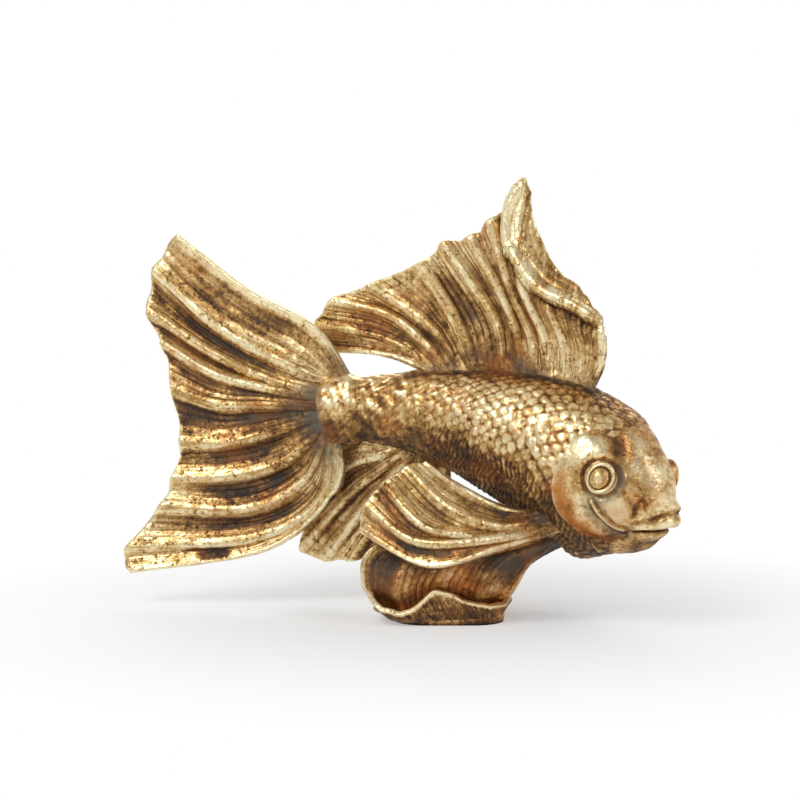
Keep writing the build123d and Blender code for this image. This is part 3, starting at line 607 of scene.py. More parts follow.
def makeEye(name, place, node, offset):
    t, angle = place
    centre = bodyPoint(np.array(t), np.array(angle))
    up = centre - spineAt(np.array(t))
    aheadSkin = bodyPoint(t + 0.01, angle) - bodyPoint(t - 0.01, angle)
    aroundSkin = bodyPoint(t, angle + 2.0) - bodyPoint(t, angle - 2.0)
    normal = np.cross(aheadSkin, aroundSkin)
    normal = normal / np.linalg.norm(normal)
    normal = normal if normal @ up > 0 else -normal
    ahead = aheadSkin - normal * (aheadSkin @ normal)
    ahead = ahead / np.linalg.norm(ahead)
    across = np.cross(normal, ahead)
    profile = np.array(eyes["profile"])
    fineness = np.linspace(0, len(profile) - 1, (len(profile) - 1) * 4 + 1)
    curve = through(profile, fineness)
    turn = np.linspace(0, 2 * math.pi, eyes["segments"], endpoint=False)[:, None]
    radius = np.maximum(curve[None, :, 0], 0.02)
    radius = radius * (1 + 0.012 * np.sin(2 * turn + 0.6) + 0.008 * np.sin(3 * turn))
    inner = 1 - ease(5.6, 7.4, radius)
    x = radius * np.cos(turn) * 0.84 + offset[0] * inner
    y = radius * np.sin(turn) + offset[1] * inner
    z = curve[None, :, 1] + 0.10 * wander(x, y, 31, 1.8)
    grid = centre + ahead * x[..., None] + across * y[..., None] + normal * z[..., None]
    # glaze in the groove with painted shade, painted shade where the boss meets the head, and painted highlights on
    # the ring's crest and the dome's top
    glazeAndShade = 0.6 * bell(radius - 6.55, 0.45) + 0.6 * ease(9.3, 9.7, radius) * (z < 1)
    glazeAndShade = glazeAndShade + 0.22 * (radius < 5.6) + 0 * x
    wearAndHighlight = 0.6 * bell(radius - 8.3, 0.7) + 0.7 * (1 - ease(1.5, 4.0, radius))
    index = np.arange(grid.shape[0] * grid.shape[1]).reshape(grid.shape[:2])
    flow = np.stack([radius + 0 * x, turn + 0 * x, 0 * x], -1)
    return makePiece(name, grid.reshape(-1, 3), gridFaces(index, True), node, giltEyes, {
        "glazeAndShade": np.clip(glazeAndShade, 0, 1).ravel(), "wearAndHighlight": np.clip(wearAndHighlight + 0 * x, 0, 1).ravel(),
        "flow": flow.reshape(-1, 3)})


makeEye("right_eye_boss", head["rightEye"], "right_eye", (-0.6, -0.5))
makeEye("left_eye_boss", head["leftEye"], "left_eye", (0.3, 0.2))


# fins
sheet = {
    # fold shape: side rim, growth from the root, flattening at the free edge, lean and sharpness of the crests
    "rimU": 0.07, "growth": 0.4, "flatten": 0.25, "warp": 0.8, "sharp": 0.6, "scallop": 0.5, "bead": 0.35,
    # ray number, width and depth of what is trimmed off the free edge
    "trims": (),
    # wear and painted light: worn edge, root darkened by dust and painted shade, overall painted shade, crests
    # brightened by wear and painted highlight, streaks to a fold
    "rubReach": 0.03, "rootDark": 0.25, "rootShade": 0.3, "dust": 0.3, "shade": 0.0, "crest": 1.0, "lines": 14.0,
    # ray number, share out, width, height
    "patches": (), "paintedWarmLight": (),
}


def finGrid(rays, u, v):
    rays = np.asarray(rays, float)
    along = np.stack([through(ray, v * (rays.shape[1] - 1)) for ray in rays])
    return through(along, u)


def rolledLip(grid, rays, fin, u, v):
    # distance from the rolled lip, positive on the flap that turns over above it
    marks = np.array(fin["lip"], float)
    marks = through(marks, np.linspace(0, len(marks) - 1, 90))
    track = np.stack([finGrid(rays, np.array([a]), np.array([b]))[0, 0] for a, b in marks])
    far, place = lineDistance(grid.reshape(-1, 3), track)
    turn = int(marks[:, 0].argmin())
    rear = np.interp(v, marks[turn::-1, 1], marks[turn::-1, 0])[None, :]
    foot = np.interp(u, marks[turn:, 0], marks[turn:, 1])[:, None]
    flap = (u[:, None] > rear) & (v[None, :] > foot)
    return np.where(flap, 1, -1) * far.reshape(flap.shape), place.reshape(flap.shape)


def finPiece(name, rays, fin, facing, node, material):
    # folded sheet with sharp crests, rounded rims and fine rays
    fin = {**sheet, **fin}
    rays = np.asarray(rays, float)
    folds = len(rays) - 1
    rimU, rimV = fin["rimU"], fin["rim"]
    u = np.unique(np.concatenate([
        np.linspace(0, rimU, 5), np.linspace(rimU, folds - rimU, folds * fin["perFold"]),
        folds - np.linspace(0, rimU, 5)]))
    v = np.unique(np.concatenate([
        np.linspace(0, 1 - rimV, fin["rows"]), 1 - rimV * (1 - np.sin(np.linspace(0, math.pi / 2, 7)))]))
    uu, vv = u[:, None] + 0 * v[None, :], v[None, :] + 0 * u[:, None]
    seed = fin["seed"]
    base = finGrid(rays, u, np.linspace(0, 1.035, 124))
    # uneven free edge, longest at the crests
    ripple = 0.5 * wander(u * 2.2, 0 * u, seed) + 0.5 * wander(u * 9.0, 0 * u, seed + 1)
    ripple = ripple + fin["scallop"] * np.cos(2 * math.pi * u)
    for across, wide, depth in fin["trims"]:
        ripple = ripple - depth / max(fin["edge"], 0.01) * bell(u - across, wide)
    reach = 1 + fin["edge"] * ripple / np.linalg.norm(np.diff(base, axis=1), axis=-1).sum(1)
    place = v[None, :] * np.minimum(reach, 1.03)[:, None] * 119
    low = np.minimum(place.astype(int), 122)
    part = (place - low)[..., None]
    rowIndex = np.arange(len(u))[:, None]
    grid = base[rowIndex, low] * (1 - part) + base[rowIndex, low + 1] * part
    normal = gridNormals(grid)
    if (normal * facing).sum(-1).mean() < 0:
        normal = -normal
    growth = np.minimum(vv / fin["growth"], 1) * (1 - fin["flatten"] * ease(0.72, 1.0, vv))
    foldSize = np.interp(u, np.arange(folds) + 0.5, np.resize(fin["folds"], folds))[:, None]
    # each crest falls away steeply on one side
    bend = np.clip(uu + 0.07 * wander(vv * 3, uu, seed + 2), 0, folds)
    step = np.mod(bend, 1.0) ** fin["warp"]
    sharp = fin["sharp"]
    valley = sharp * np.abs(np.sin(math.pi * step)) + (1 - sharp) * (1 - np.cos(2 * math.pi * step)) / 2
    fineWave = bend * fin["ribs"] + 0.22 * wander(vv * 4, uu * 3, seed + 3)
    strength = np.clip(0.55 + 0.6 * wander(vv * 5, uu * 4, seed + 5), 0.05, 1.3)
    rib = (1 - np.abs(np.sin(math.pi * fineWave)) ** 0.8) * ease(0.04, 0.3, vv) * strength
    uneven = wander(vv * 9, uu * 2.5, seed + 4)
    grit = wander(vv * 34, uu * 7, seed + 9) + 0.7 * wander(vv * 70, uu * 15, seed + 10)
    push = -fin["fold"] * foldSize * valley * growth - fin["ribDepth"] * rib + 0.4 * uneven + 0.16 * grit
    lipShadow, lipHighlight = np.zeros_like(uu), np.zeros_like(uu)
    if "lip" in fin:
        beyond, lipPlace = rolledLip(grid, rays, fin, u, v)
        full = ease(0.0, 0.12, lipPlace) * (1 - ease(0.88, 1.0, lipPlace))
        flap = ease(-2.0, 1.5, beyond) * ease(0.0, 0.06, lipPlace)
        pleat = 0.18 * np.sin(beyond * 1.5 + 2 * lipPlace) * ease(4, 7, beyond)
        roll = 3.4 * bell(beyond - 1.8, 2.4) - 3.6 * bell(beyond + 2.8, 2.5) * (beyond < 0.4)
        push = push * (1 - flap) + full * roll
        push = push + flap * (pleat + 0.4 * uneven) - 1.6 * full * ease(6, 16, beyond)
        # painted shadow under the rolled lip, painted highlight along it and on the flap
        lipShadow = full * 0.7 * bell(beyond + 3.0, 2.4)
        lipHighlight = full * bell(beyond - 1.8, 2.2) + 0.35 * flap
        valley, rib = valley * (1 - flap), rib * (1 - flap)
    middle = grid + normal * push[..., None]
    skinNormal = gridNormals(middle)
    if (skinNormal * normal).sum(-1).mean() < 0:
        skinNormal = -skinNormal
    half = (6.0 - 2.4 * vv) / 2
    endRound = np.sqrt(np.clip(1 - (np.clip(vv - (1 - rimV), 0, 1) / rimV) ** 2, 0, 1))
    fromSide = np.minimum(uu, folds - uu)
    sideRound = np.sqrt(np.clip(1 - (1 - np.clip(fromSide / rimU, 0, 1)) ** 2, 0, 1))
    closing = endRound * sideRound * (vv > 0)
    bead = fin["bead"] * bell(np.arange(len(v)) - (len(v) - 9), 5.0)[None, :]
    front = middle + skinNormal * ((half + bead) * closing)[..., None]
    backSide = middle - skinNormal * ((half + bead) * closing)[..., None]
    count = grid.shape[0] * grid.shape[1]
    index = np.arange(count).reshape(grid.shape[:2])
    under = index + count
    under[0], under[-1], under[:, 0], under[:, -1] = index[0], index[-1], index[:, 0], index[:, -1]
    faces = np.concatenate([gridFaces(index), gridFaces(under)[:, ::-1]])
    if (skinNormal * gridNormals(middle)).sum(-1).mean() < 0:
        faces = faces[:, ::-1]
    # hollows darken with glaze and painted shade, with a painted shadow below each crest; crests get painted
    # highlights with wear, and free edges are rubbed bright
    deep = valley * np.minimum(foldSize * fin["fold"] / 4.0, 1.2) * growth
    free = ease(1 - fin["rubReach"], 1.0, vv) + 0.7 * (1 - ease(0, 0.3, fromSide)) * ease(0.1, 0.3, vv)
    root = 1 - ease(0.0, fin["rootDark"], vv)
    worn = 0.3 * wander(vv * 6, uu * 1.4, seed + 6) + 0.2 * wander(vv * 14, uu * 6, seed + 7)
    shadow = 0.2 * bell(np.mod(bend, 1.0) - 0.16, 0.12) * growth
    patch = np.zeros_like(uu)
    for across, out, wide, tall in fin["patches"]:
        blot = np.hypot((uu - across) / wide, (vv - out) / tall) + 0.22 * wander(uu * 9, vv * 40, seed + 8)
        patch = np.maximum(patch, 1 - ease(0.8, 1.0, blot))
    shared = 0.5 * rib + fin["rootShade"] * root - 0.35 * free + worn * 0.7
    shared = shared + 0.65 * patch + fin["shade"] - 0.08 * grit
    glazeAndShadeFront = 0.36 * deep ** 2.4 + shadow + shared + lipShadow
    glazeAndShadeBack = 0.4 * (1 - deep) ** 2 * growth + shared
    crest = bell(np.mod(bend + 0.5, 1.0) - 0.5, 0.065) * growth * (0.8 + 0.8 * worn)
    wearAndHighlightFront = fin["crest"] * crest + 0.7 * free + 0.9 * lipHighlight
    wearAndHighlightBack = valley ** 2 * 0.5 * growth + 0.9 * free
    dust = fin["dust"] * root * (0.6 + 0.5 * uneven) + 0.22 * deep ** 3 * (0.5 + 0.6 * uneven)
    paintedWarmLight = np.zeros_like(uu)
    for across, out, wide, tall in fin["paintedWarmLight"]:
        paintedWarmLight = np.maximum(paintedWarmLight, bell(np.hypot((uu - across) / wide, (vv - out) / tall), 1.0))
    glazeAndShadeFront, dust = glazeAndShadeFront - 0.45 * paintedWarmLight, dust * (1 - paintedWarmLight)
    flow = np.stack([uu * fin["lines"], vv * 2.2, 0 * uu + seed], -1).reshape(-1, 3)

    def both(one, two):
        return np.clip(np.concatenate([one.ravel(), two.ravel()]), 0, 1)

    points = np.concatenate([front.reshape(-1, 3), backSide.reshape(-1, 3)])
    return makePiece(name, points, faces, node, material, {
        "glazeAndShade": both(glazeAndShadeFront, glazeAndShadeBack), "wearAndHighlight": both(wearAndHighlightFront, wearAndHighlightBack), "dust": both(dust, dust),
        "paintedWarmLight": both(paintedWarmLight, 0 * paintedWarmLight), "flow": np.concatenate([flow, flow + 5])})


def bodyRay(t, angle, side, length, shares, sink):
    t = np.array(t)
    skin = bodyPoint(t, angle * side)
    root = bodyPoint(t, angle * side, -sink)
    steps = [skin + (levelAhead(t) * front + np.array((0, 0, rise)) + nearSide(t) * side * out) * length
             for front, rise, out in shares]
    return [root] + steps


tail = {
    "reach": 118.0, "spread": 200.0, "fold": 5.4, "folds": (0.6, 1, 0.9, 0.8, 1, 1, 1, 0.9, 0.3),
    "perFold": 26, "rows": 122, "rim": 0.016,
    "edge": 1.3, "ribs": 5, "ribDepth": 0.9, "seed": 40, "sharp": 0.75, "warp": 0.72, "dust": 1.2, "rootDark": 0.32,
    "rootShade": 0.5, "trims": ((9.0, 0.25, 4.0), (0.0, 0.15, 1.5)),
    "patches": ((8.66, 0.80, 0.36, 0.05), (8.2, 0.79, 0.16, 0.07)),
    # back, up, toward the viewer
    "rays": [
        ((-0.18, 0.095, 0), (0.01, 0.26, 0), (0.36, 0.37, -0.02), (0.75, 0.54, -0.06)),
        ((-0.05, 0.09, 0), (0.20, 0.15, 0), (0.54, 0.26, -0.01), (0.87, 0.43, -0.05)),
        ((-0.05, 0.06, 0), (0.23, 0.09, 0), (0.57, 0.18, 0), (0.90, 0.30, -0.03)),
        ((-0.05, 0.04, 0), (0.26, 0.07, 0.01), (0.54, 0.11, 0.02), (0.81, 0.20, 0)),
        ((-0.05, 0.02, 0), (0.26, 0.02, 0.01), (0.52, 0.02, 0.03), (0.76, 0.06, 0.02)),
        ((-0.05, 0, 0), (0.23, -0.05, 0.01), (0.47, -0.09, 0.03), (0.72, -0.10, 0.03)),
        ((-0.05, -0.02, 0), (0.18, -0.14, 0.01), (0.46, -0.19, 0.02), (0.77, -0.20, 0.03)),
        ((-0.05, -0.04, 0), (0.08, -0.20, 0), (0.36, -0.29, 0.02), (0.83, -0.29, 0.03)),
        ((-0.07, -0.05, 0), (0, -0.26, 0.01), (0.34, -0.38, 0.02), (1.00, -0.41, 0.05)),
        ((-0.12, -0.06, 0), (-0.09, -0.22, 0.02), (0.26, -0.41, 0.03), (1.01, -0.49, 0.08))],
}


def tailRays():
    zero = np.array(0.0)
    behind, aside = -levelAhead(zero) * tail["reach"], nearSide(zero) * tail["reach"]
    rise = np.array((0, 0, tail["spread"]))
    return [[spineAt(zero) + behind * back + rise * up + aside * out for back, up, out in ray]
            for ray in tail["rays"]]


finPiece("tail_fan", tailRays(), tail, nearSide(np.array(0.0)), "tail_fin", giltFins)

dorsal = {
    "height": 120.0, "fold": 4.0, "folds": (0.6, 0.8, 1, 1, 1, 1, 1, 1, 0.7, 0.4, 0.3), "perFold": 24, "rows": 124,
    "rim": 0.02, "edge": 1.2, "ribs": 5, "ribDepth": 1.1, "seed": 60, "sharp": 0.8, "warp": 0.85, "dust": 0.5,
    "trims": ((8.45, 0.26, 4.5), (7.3, 0.42, 5.0), (6.5, 0.4, 2.5)),
    "roots": (0.278, 0.302, 0.330, 0.357, 0.393, 0.457, 0.499, 0.536, 0.568, 0.606, 0.646, 0.681),
    # ahead, up, toward the viewer
    "rays": [
        ((-0.17, 0.055, 0), (-0.34, 0.075, -0.02), (-0.57, 0.075, -0.08)),
        ((-0.16, 0.10, 0), (-0.36, 0.17, -0.01), (-0.67, 0.21, -0.05)),
        ((-0.15, 0.14, 0), (-0.34, 0.27, 0), (-0.64, 0.33, -0.01)),
        ((-0.12, 0.16, 0), (-0.26, 0.28, 0), (-0.48, 0.42, 0.01)),
        ((-0.09, 0.20, 0), (-0.20, 0.39, 0.01), (-0.30, 0.53, 0.02)),
        ((-0.04, 0.22, 0), (-0.16, 0.41, 0.01), (-0.31, 0.62, 0.02)),
        ((-0.04, 0.21, 0), (-0.13, 0.41, 0.01), (-0.27, 0.66, 0.02)),
        ((-0.04, 0.19, 0), (-0.15, 0.44, 0.02), (-0.26, 0.79, 0.02)),
        ((-0.03, 0.18, 0), (-0.16, 0.53, 0.05), (-0.14, 0.96, 0)),
        ((0, 0.16, 0), (-0.09, 0.42, 0.06), (-0.11, 0.62, -0.01)),
        ((0.02, 0.16, 0), (-0.01, 0.35, 0.06), (-0.02, 0.47, 0)),
        ((0.05, 0.13, 0.01), (0.08, 0.25, 0.04), (0.05, 0.34, 0.02))],
    # ray number and share out, along the lip where the front turns over
    "lip": [(7.98, 0.988), (7.62, 0.95), (7.48, 0.906), (7.42, 0.85), (7.52, 0.775), (8.05, 0.69), (8.6, 0.65),
            (9.3, 0.663), (10.0, 0.69), (10.5, 0.73), (10.95, 0.80)],
}
dorsalRays = [bodyRay(t, 0, 1, dorsal["height"], ray, 1.5) for t, ray in zip(dorsal["roots"], dorsal["rays"])]
finPiece("dorsal_sail", dorsalRays, dorsal, nearSide(np.array(0.5)), "dorsal_fin", giltFins)

anal = {
    "length": 90.0, "fold": 3.0, "folds": (1.0,), "perFold": 30, "rows": 100, "rim": 0.02, "edge": 1.2,
    "ribs": 3, "ribDepth": 0.8, "seed": 80, "sharp": 0.7,
    "roots": (0.215, 0.235, 0.255, 0.275, 0.300, 0.330, 0.365),
    # ahead, up, toward the viewer
    "rays": [
        ((-0.11, 0.04, 0.02), (-0.28, 0.08, 0.02), (-0.48, 0.01, -0.11)),
        ((-0.18, -0.04, 0.01), (-0.42, -0.12, -0.06), (-0.70, -0.34, -0.15)),
        ((-0.21, -0.10, 0), (-0.49, -0.31, -0.08), (-0.84, -0.68, -0.14)),
        ((-0.20, -0.14, 0), (-0.43, -0.38, -0.08), (-0.73, -0.75, -0.14)),
        ((-0.18, -0.16, 0), (-0.37, -0.40, -0.08), (-0.60, -0.73, -0.14)),
        ((-0.12, -0.16, 0), (-0.25, -0.35, -0.06), (-0.43, -0.62, -0.14)),
        ((-0.03, -0.11, -0.01), (-0.12, -0.27, -0.05), (-0.25, -0.43, -0.11))],
}
analRays = [bodyRay(t, 180, 1, anal["length"], ray, 4.0) for t, ray in zip(anal["roots"], anal["rays"])]
finPiece("anal_sheet", analRays, anal, nearSide(np.array(0.2)), "anal_fin", giltFins)

pectoral = {
    "length": 110.0, "fold": 3.9, "folds": (1.0,), "perFold": 34, "rows": 112, "rim": 0.018, "edge": 1.2,
    "ribs": 4, "ribDepth": 0.6, "seed": 100, "sharp": 0.8, "warp": 0.66, "shade": 0.06,
    "flatten": 0.6, "scallop": 0.1, "trims": ((0.0, 0.4, 2.0), (4.0, 0.35, 2.5)),
    "roots": (0.705, 0.73, 0.752, 0.768, 0.778), "angles": (132, 134, 137, 139, 142),
    # ahead, up, outward
    "rays": [
        ((-0.17, 0.04, 0.05), (-0.39, 0.15, 0.13), (-0.61, 0.28, 0.16)),
        ((-0.19, -0.03, 0.13), (-0.45, 0.06, 0.24), (-0.72, 0.26, 0.26)),
        ((-0.23, -0.03, 0.19), (-0.55, 0, 0.36), (-0.83, 0.22, 0.37)),
        ((-0.24, -0.03, 0.22), (-0.60, -0.05, 0.43), (-0.92, 0.13, 0.45)),
        ((-0.22, -0.06, 0.25), (-0.55, -0.16, 0.44), (-0.97, 0.01, 0.49))],
}
for side, word in ((1, "right"), (-1, "left")):
    roots = zip(pectoral["roots"], pectoral["angles"], pectoral["rays"])
    rays = [bodyRay(t, angle, side, pectoral["length"], ray, 4.0) for t, angle, ray in roots]
    facing = nearSide(np.array(0.7)) * side
    finPiece(word + "_pectoral_sheet", rays, pectoral, facing, word + "_pectoral_fin", giltFins)

# foot and the pelvic fins that stand on it
foot = {
    "length": 76.0, "width": 90.0, "thickness": 8.0, "corner": 22.0, "wallThickness": 5.0,
    # the front wall's rim and the line where it meets the ground
    "rim": [(-50, -20, 22), (-47, -32, 15), (-40, -41, 10), (-30, -44, 7.5), (-20, -45, 11), (-9, -45, 21),
            (2, -44, 18), (14, -42, 13.5), (24, -38, 11.5), (34, -30, 12.5), (36, -20, 16)],
    "ground": [(-31, -14, 1), (-32, -25, 1), (-26, -34, 1), (-10, -36, 1), (8, -36, 1), (20, -33, 1), (26, -25, 1),
               (27, -16, 1)],
    # height share, outline share
    "levels": [(0.0, 0.02), (0.0, 0.41), (0.0, 0.80), (0.02, 0.82), (0.10, 0.835), (0.25, 0.86), (0.45, 0.905),
               (0.65, 0.95), (0.82, 0.985), (0.93, 1.0), (0.985, 0.995), (1.0, 0.975), (1.0, 0.94), (0.985, 0.80),
               (0.97, 0.5), (0.97, 0.02)],
}
pelvic = {
    "fold": 4.0, "folds": (0.7,), "perFold": 36, "rows": 104, "rim": 0.03, "edge": 0.0, "ribs": 6, "ribDepth": 0.8,
    "seed": 120, "rubReach": 0.02, "sharp": 0.4, "dust": 0.8, "rootDark": 0.9, "shade": 0.26, "crest": 0.15,
    # painted orange reflection in the cups behind the front wall
    "paintedWarmLight": ((1.7, 0.74, 1.0, 0.26), (0.4, 0.85, 0.6, 0.2)),
    "roots": (0.765, 0.755, 0.745, 0.735, 0.725), "angle": 160.0, "lift": -1.0,
    # share of the way down, then moved along the foot's length and across its width
    "right": [
        ((0.32, -0.09, -0.02), (0.73, -0.03, -0.01)), ((0.30, -0.27, -0.03), (0.70, -0.16, -0.03)),
        ((0.22, -0.48, -0.01), (0.53, -0.38, -0.04)), ((0.23, -0.72, 0.03), (0.65, -0.46, -0.04)),
        ((0.17, -1.06, 0.09), (0.64, -0.66, -0.01))],
    "rightStand": ((0.40, -0.27), (0.20, -0.33), (-0.10, -0.36), (-0.34, -0.34), (-0.46, -0.20)),
    "left": [
        ((0.34, -0.07, 0.11), (0.73, -0.07, 0.11)), ((0.29, -0.30, 0.17), (0.68, -0.18, 0.14)),
        ((0.24, -0.51, 0.24), (0.65, -0.27, 0.17)), ((0.24, -0.64, 0.26), (0.65, -0.36, 0.17)),
        ((0.19, -0.85, 0.27), (0.65, -0.44, 0.17))],
    "leftStand": ((0.40, 0.26), (0.26, 0.33), (0.04, 0.36), (-0.18, 0.34), (-0.36, 0.27)),
}


def pelvicRays(word, side):
    made = []
    size = np.array((foot["length"], foot["width"], 0))
    for t, ray, stand in zip(pelvic["roots"], pelvic[word], pelvic[word + "Stand"]):
        root = bodyPoint(np.array(t), pelvic["angle"] * side, -4.0)
        end = np.array((*stand, 0)) * size + np.array((0, 0, foot["thickness"] + pelvic["lift"]))
        between = [root + (end - root) * down + np.array((run, out, 0)) * size for down, run, out in ray]
        made.append([root] + between + [end])
    return made


for side, word in ((1, "right"), (-1, "left")):
    facing = nearSide(np.array(0.0)) * side
    rays = pelvicRays(word, side)
    finPiece(word + "_pelvic_sheet", rays, pelvic, facing, word + "_pelvic_fin", giltFins)


def roundedOutline(length, width, corner, count):
    # points round a rectangle with round corners, evenly spaced
    turn = np.linspace(0, 2 * math.pi, count * 4, endpoint=False) + 1e-6
    x = np.sign(np.cos(turn)) * (length / 2 - corner) + corner * np.cos(turn)
    y = np.sign(np.sin(turn)) * (width / 2 - corner) + corner * np.sin(turn)
    closed = np.stack([np.append(x, x[0]), np.append(y, y[0])], -1)
    steps = np.concatenate([[0], np.cumsum(np.linalg.norm(np.diff(closed, axis=0), axis=1))])
    even = np.linspace(0, steps[-1], count, endpoint=False)
    return np.stack([np.interp(even, steps, closed[:, i]) for i in range(2)], -1)


def footBase():
    count = 200
    ring = roundedOutline(foot["length"], foot["width"], foot["corner"], count)
    rows = [np.concatenate([ring * share, np.full((count, 1), foot["thickness"] * high)], 1)
            for high, share in foot["levels"]]
    grid = through(np.stack(rows), np.linspace(0, len(rows) - 1, (len(rows) - 1) * 5 + 1)).transpose(1, 0, 2)
    grid[..., 2] = np.clip(grid[..., 2], 0, None)
    # the front and the head's end stay behind the wall
    grid[..., 0] *= np.where(grid[..., 0] > 0, 1 - 0.18 * ease(0, 8, grid[..., 2]) * ease(10, -20, grid[..., 1]), 1)
    raised = ease(0, 8, grid[..., 2])
    grid[..., 1] *= np.where(grid[..., 1] < 0, 1 - 0.16 * raised * ease(-36, -18, grid[..., 0]), 1)
    grid[..., 0] *= np.where(grid[..., 0] < 0, 1 + 0.16 * raised * ease(0, -20, grid[..., 1]), 1)
    turn = np.arctan2(grid[..., 1], grid[..., 0])
    away = np.linalg.norm(grid[..., :2], axis=-1, keepdims=True)
    side = ease(0.2, 2.0, grid[..., 2]) * ease(20, 30, away[..., 0])
    wave = 0.5 * wander(turn * 6, grid[..., 2] / 4, 140)
    wave = wave + 0.3 * np.sin(turn * 46 + wander(turn * 9, 0 * turn, 141) * 2)
    grid[..., :2] += grid[..., :2] / np.maximum(away, 1) * (side * wave * 0.7)[..., None]
    # glaze over the base, darker towards the ground as painted shade; painted orange reflection on the front of its
    # top
    glazeAndShade = 0.36 + 0.25 * wander(turn * 5, grid[..., 2] / 3, 142) + 0.3 * (1 - ease(0, 4, grid[..., 2]))
    paintedWarmLight = 0.6 * ease(7, 8, grid[..., 2]) * (grid[..., 1] < 0)
    level = ease(6, 8, grid[..., 2]) + 0 * turn
    flow = np.stack([turn * 16 * (1 - level), grid[..., 2] / 14, 0 * turn], -1) + grid * (level / 5)[..., None]
    return grid, glazeAndShade, paintedWarmLight, flow


def footWall():
    # streaked wall from the ground up to the wavy rim
    u = np.linspace(0, 1, 241)[:, None]
    topRows = 0.92 + 0.08 * np.sin(np.linspace(0, math.pi / 2, 9))  # close together where the rim rounds over
    v = np.unique(np.concatenate([np.linspace(0, 0.92, 44), topRows]))[None, :]
    rim = through(np.array(foot["rim"], float), u[:, 0] * (len(foot["rim"]) - 1))[:, None]
    ground = through(np.array(foot["ground"], float), u[:, 0] * (len(foot["ground"]) - 1))[:, None]
    sheet = ground + (rim - ground) * v[..., None]
    sheet[..., 2] += 0.9 * (wander(u * 60, 0 * u, 150) * ease(0.6, 1.0, v))
    normal = gridNormals(sheet)
    normal = normal * (-1 if normal[..., 1].mean() > 0 else 1)
    drips = wander(u * 150, v * 1.5, 151) * 0.5 + 0.5 * wander(u * 60, v * 2.5, 152)
    belly = 1.6 * np.sin(math.pi * v)
    push = belly + 0.45 * drips * ease(0.05, 0.4, v) * (1 - ease(0.86, 1.0, v))
    rounding = np.sqrt(np.clip(1 - (np.clip(v - 0.92, 0, 1) / 0.08) ** 2, 0, 1))
    thick = foot["wallThickness"] * (1 - 0.35 * v) * rounding
    ends = np.sqrt(np.clip(1 - (1 - np.clip(np.minimum(u, 1 - u) / 0.02, 0, 1)) ** 2, 0, 1))
    thick = thick * ends * (v > 0)
    front = sheet + normal * (push * ends)[..., None]
    inner = front - normal * thick[..., None]
    for side in (front, inner):
        side[..., 2] = np.clip(side[..., 2], 0, None)
    # painted shade darkens the wall towards the ground; the rim is worn bright with a painted highlight, the
    # central bulge gets a painted highlight, and the inner face painted orange reflection
    rimWearAndHighlight = ease(0.84, 0.97, v) + 0 * u
    bulgeHighlight = bell(u - 0.57, 0.06) * bell(v - 0.72, 0.22)
    glazeAndShadeFront = 0.46 + 0.2 * drips - 0.3 * bulgeHighlight - 0.4 * rimWearAndHighlight + 0.25 * (1 - ease(0, 0.16, v))
    glazeAndShadeInner = 0.40 - 0.3 * rimWearAndHighlight + 0.15 * drips
    paintedWarmLight = 0.95 * (1 - rimWearAndHighlight) * ease(0.36, 0.5, u + 0 * v)
    flow = np.stack([u * 90 + 0 * v, v * 2.0 + 0 * u, 0 * v + 0 * u + 3], -1)
    return front, inner, glazeAndShadeFront, glazeAndShadeInner, rimWearAndHighlight, paintedWarmLight, flow


def makeFoot():
    base, glazeAndShadeBase, paintedWarmLightBase, flowBase = footBase()
    front, inner, glazeAndShadeFront, glazeAndShadeInner, rimWearAndHighlight, paintedWarmLight, flow = footWall()
    index = np.arange(base.shape[0] * base.shape[1]).reshape(base.shape[:2])
    wall = np.arange(front.shape[0] * front.shape[1]).reshape(front.shape[:2]) + index.size
    under = wall + wall.size
    under[0], under[-1], under[:, 0], under[:, -1] = wall[0], wall[-1], wall[:, 0], wall[:, -1]
    faces = np.concatenate([gridFaces(index, True), gridFaces(wall), gridFaces(under)[:, ::-1]])
    values = {
        "glazeAndShade": [glazeAndShadeBase, glazeAndShadeFront, glazeAndShadeInner], "wearAndHighlight": [0 * glazeAndShadeBase, 0.9 * rimWearAndHighlight, 0.9 * rimWearAndHighlight],
        "paintedWarmLight": [paintedWarmLightBase, 0 * paintedWarmLight, paintedWarmLight], "flow": [flowBase, flow, flow + 4]}
    values = {label: np.concatenate([part.reshape(-1, 3) if label == "flow" else np.clip(part.ravel(), 0, 1)
                                     for part in parts]) for label, parts in values.items()}
    points = np.concatenate([part.reshape(-1, 3) for part in (base, front, inner)])
    return makePiece("foot_base_and_wall", points, faces, "foot", giltFoot, values)


makeFoot()

# pins stay as they are, inside the walls
for label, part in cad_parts.items():
    if "pin" in label or "dowel" in label:
        part.data.materials.clear()
        part.data.materials.append(plainPins)
print("pieces made")


# floor, light and camera
def lightPath(tree):
    # camera, mirror and glass rays see the pale surround as it is
    rays = addNode(tree, "ShaderNodeLightPath").outputs
    mirrored = doMath(tree, "MAXIMUM", rays["Is Glossy Ray"], rays["Is Transmission Ray"])
    return rays["Is Camera Ray"], mirrored


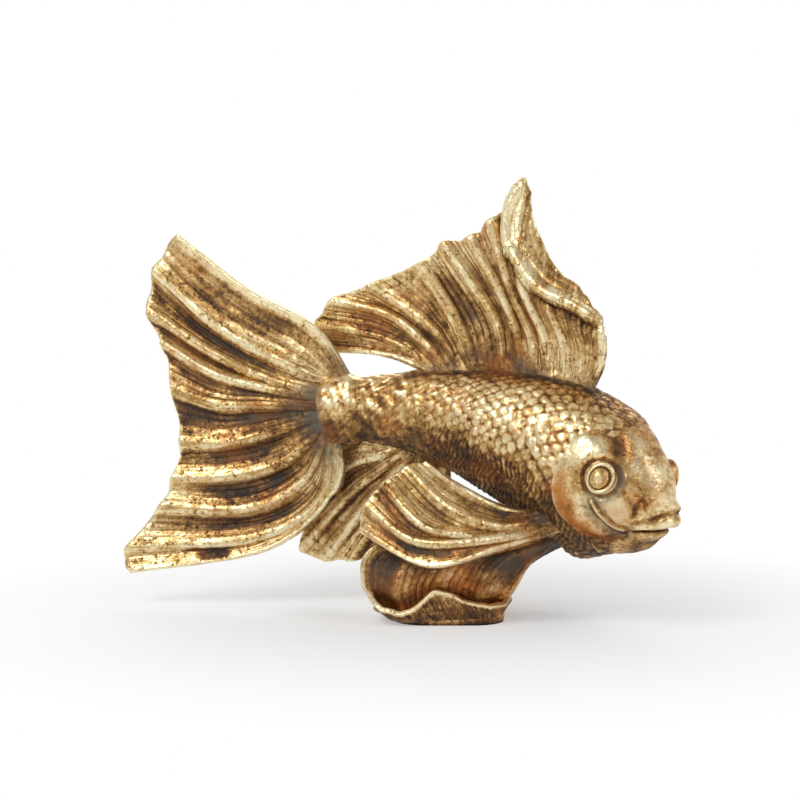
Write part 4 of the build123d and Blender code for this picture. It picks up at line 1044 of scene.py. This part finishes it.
def makeFloor():
    mesh = bpy.data.meshes.new("floor")
    mesh.from_pydata([(-6, -6, 0), (6, -6, 0), (6, 6, 0), (-6, 6, 0)], [], [(0, 1, 2, 3)])
    floor = bpy.data.objects.new("floor", mesh)
    scene.collection.objects.link(floor)
    material = bpy.data.materials.new("floor_white")
    material.use_nodes = True
    tree = material.node_tree
    shader = tree.nodes["Principled BSDF"]
    shader.inputs["Base Color"].default_value = (0.92, 0.92, 0.92, 1)
    shader.inputs["Roughness"].default_value = 0.9
    shader.inputs["Specular IOR Level"].default_value = 0.1
    # plain white away from the figure, and the shadow close to it
    white = addNode(tree, "ShaderNodeEmission", {"Color": (1, 1, 1, 1), "Strength": 1.0})
    place = addNode(tree, "ShaderNodeTexCoord").outputs["Object"]
    away = addNode(tree, "ShaderNodeVectorMath", {0: place}, operation="LENGTH").outputs["Value"]
    seen, mirrored = lightPath(tree)
    fade = spread(tree, away, 0.08, 0.32, 0.4, 1.0)
    share = doMath(tree, "MULTIPLY", fade, doMath(tree, "MAXIMUM", seen, mirrored))
    mix = addNode(tree, "ShaderNodeMixShader", {0: share, 1: shader.outputs[0], 2: white.outputs[0]})
    tree.links.new(mix.outputs[0], tree.nodes["Material Output"].inputs["Surface"])
    mesh.materials.append(material)


def makeWorld():
    world = bpy.data.worlds.new("studio")
    scene.world = world
    world.use_nodes = True
    tree = world.node_tree
    light = tree.nodes["Background"]
    light.inputs["Color"].default_value = (1, 1, 1, 1)
    # the white backdrop stands behind the figure, the room in front of it is dimmer
    way = addNode(tree, "ShaderNodeSeparateXYZ", {0: addNode(tree, "ShaderNodeTexCoord").outputs["Generated"]})
    backdrop = spread(tree, way.outputs["Y"], -0.1, 0.5, 0.34, 1.0)
    seen, mirrored = lightPath(tree)
    strength = doMath(tree, "MULTIPLY", mirrored, backdrop)
    strength = doMath(tree, "MAXIMUM", doMath(tree, "MAXIMUM", strength, seen), 0.34)
    tree.links.new(strength, light.inputs["Strength"])


def makeLamp(name, place, target, size, power):
    lamp = bpy.data.lights.new(name, "AREA")
    lamp.shape = "RECTANGLE"
    lamp.size, lamp.size_y = size
    lamp.energy = power
    holder = bpy.data.objects.new(name, lamp)
    holder.location = place
    holder.rotation_euler = (Vector(target) - Vector(place)).to_track_quat("-Z", "Y").to_euler()
    scene.collection.objects.link(holder)


makeFloor()
makeWorld()
makeLamp("key_light", (-0.75, -1.0, 1.15), (0, 0, 0.12), (0.7, 0.7), 13)
makeLamp("side_light", (1.2, -0.8, 0.7), (0, 0, 0.12), (0.5, 0.8), 4)
makeLamp("back_light", (0.1, 1.2, 1.1), (0, 0, 0.14), (1.0, 0.6), 6)

lens = bpy.data.cameras.new("camera")
lens.lens = 114.99
lens.sensor_width = 36.0
camera = bpy.data.objects.new("camera", lens)
camera.location = (-0.02876, -1.49429, 0.25811)
camera.rotation_euler = (math.radians(85), 0, 0)
scene.collection.objects.link(camera)
scene.camera = camera
scene.view_settings.view_transform = "Standard"
print("light and camera made")
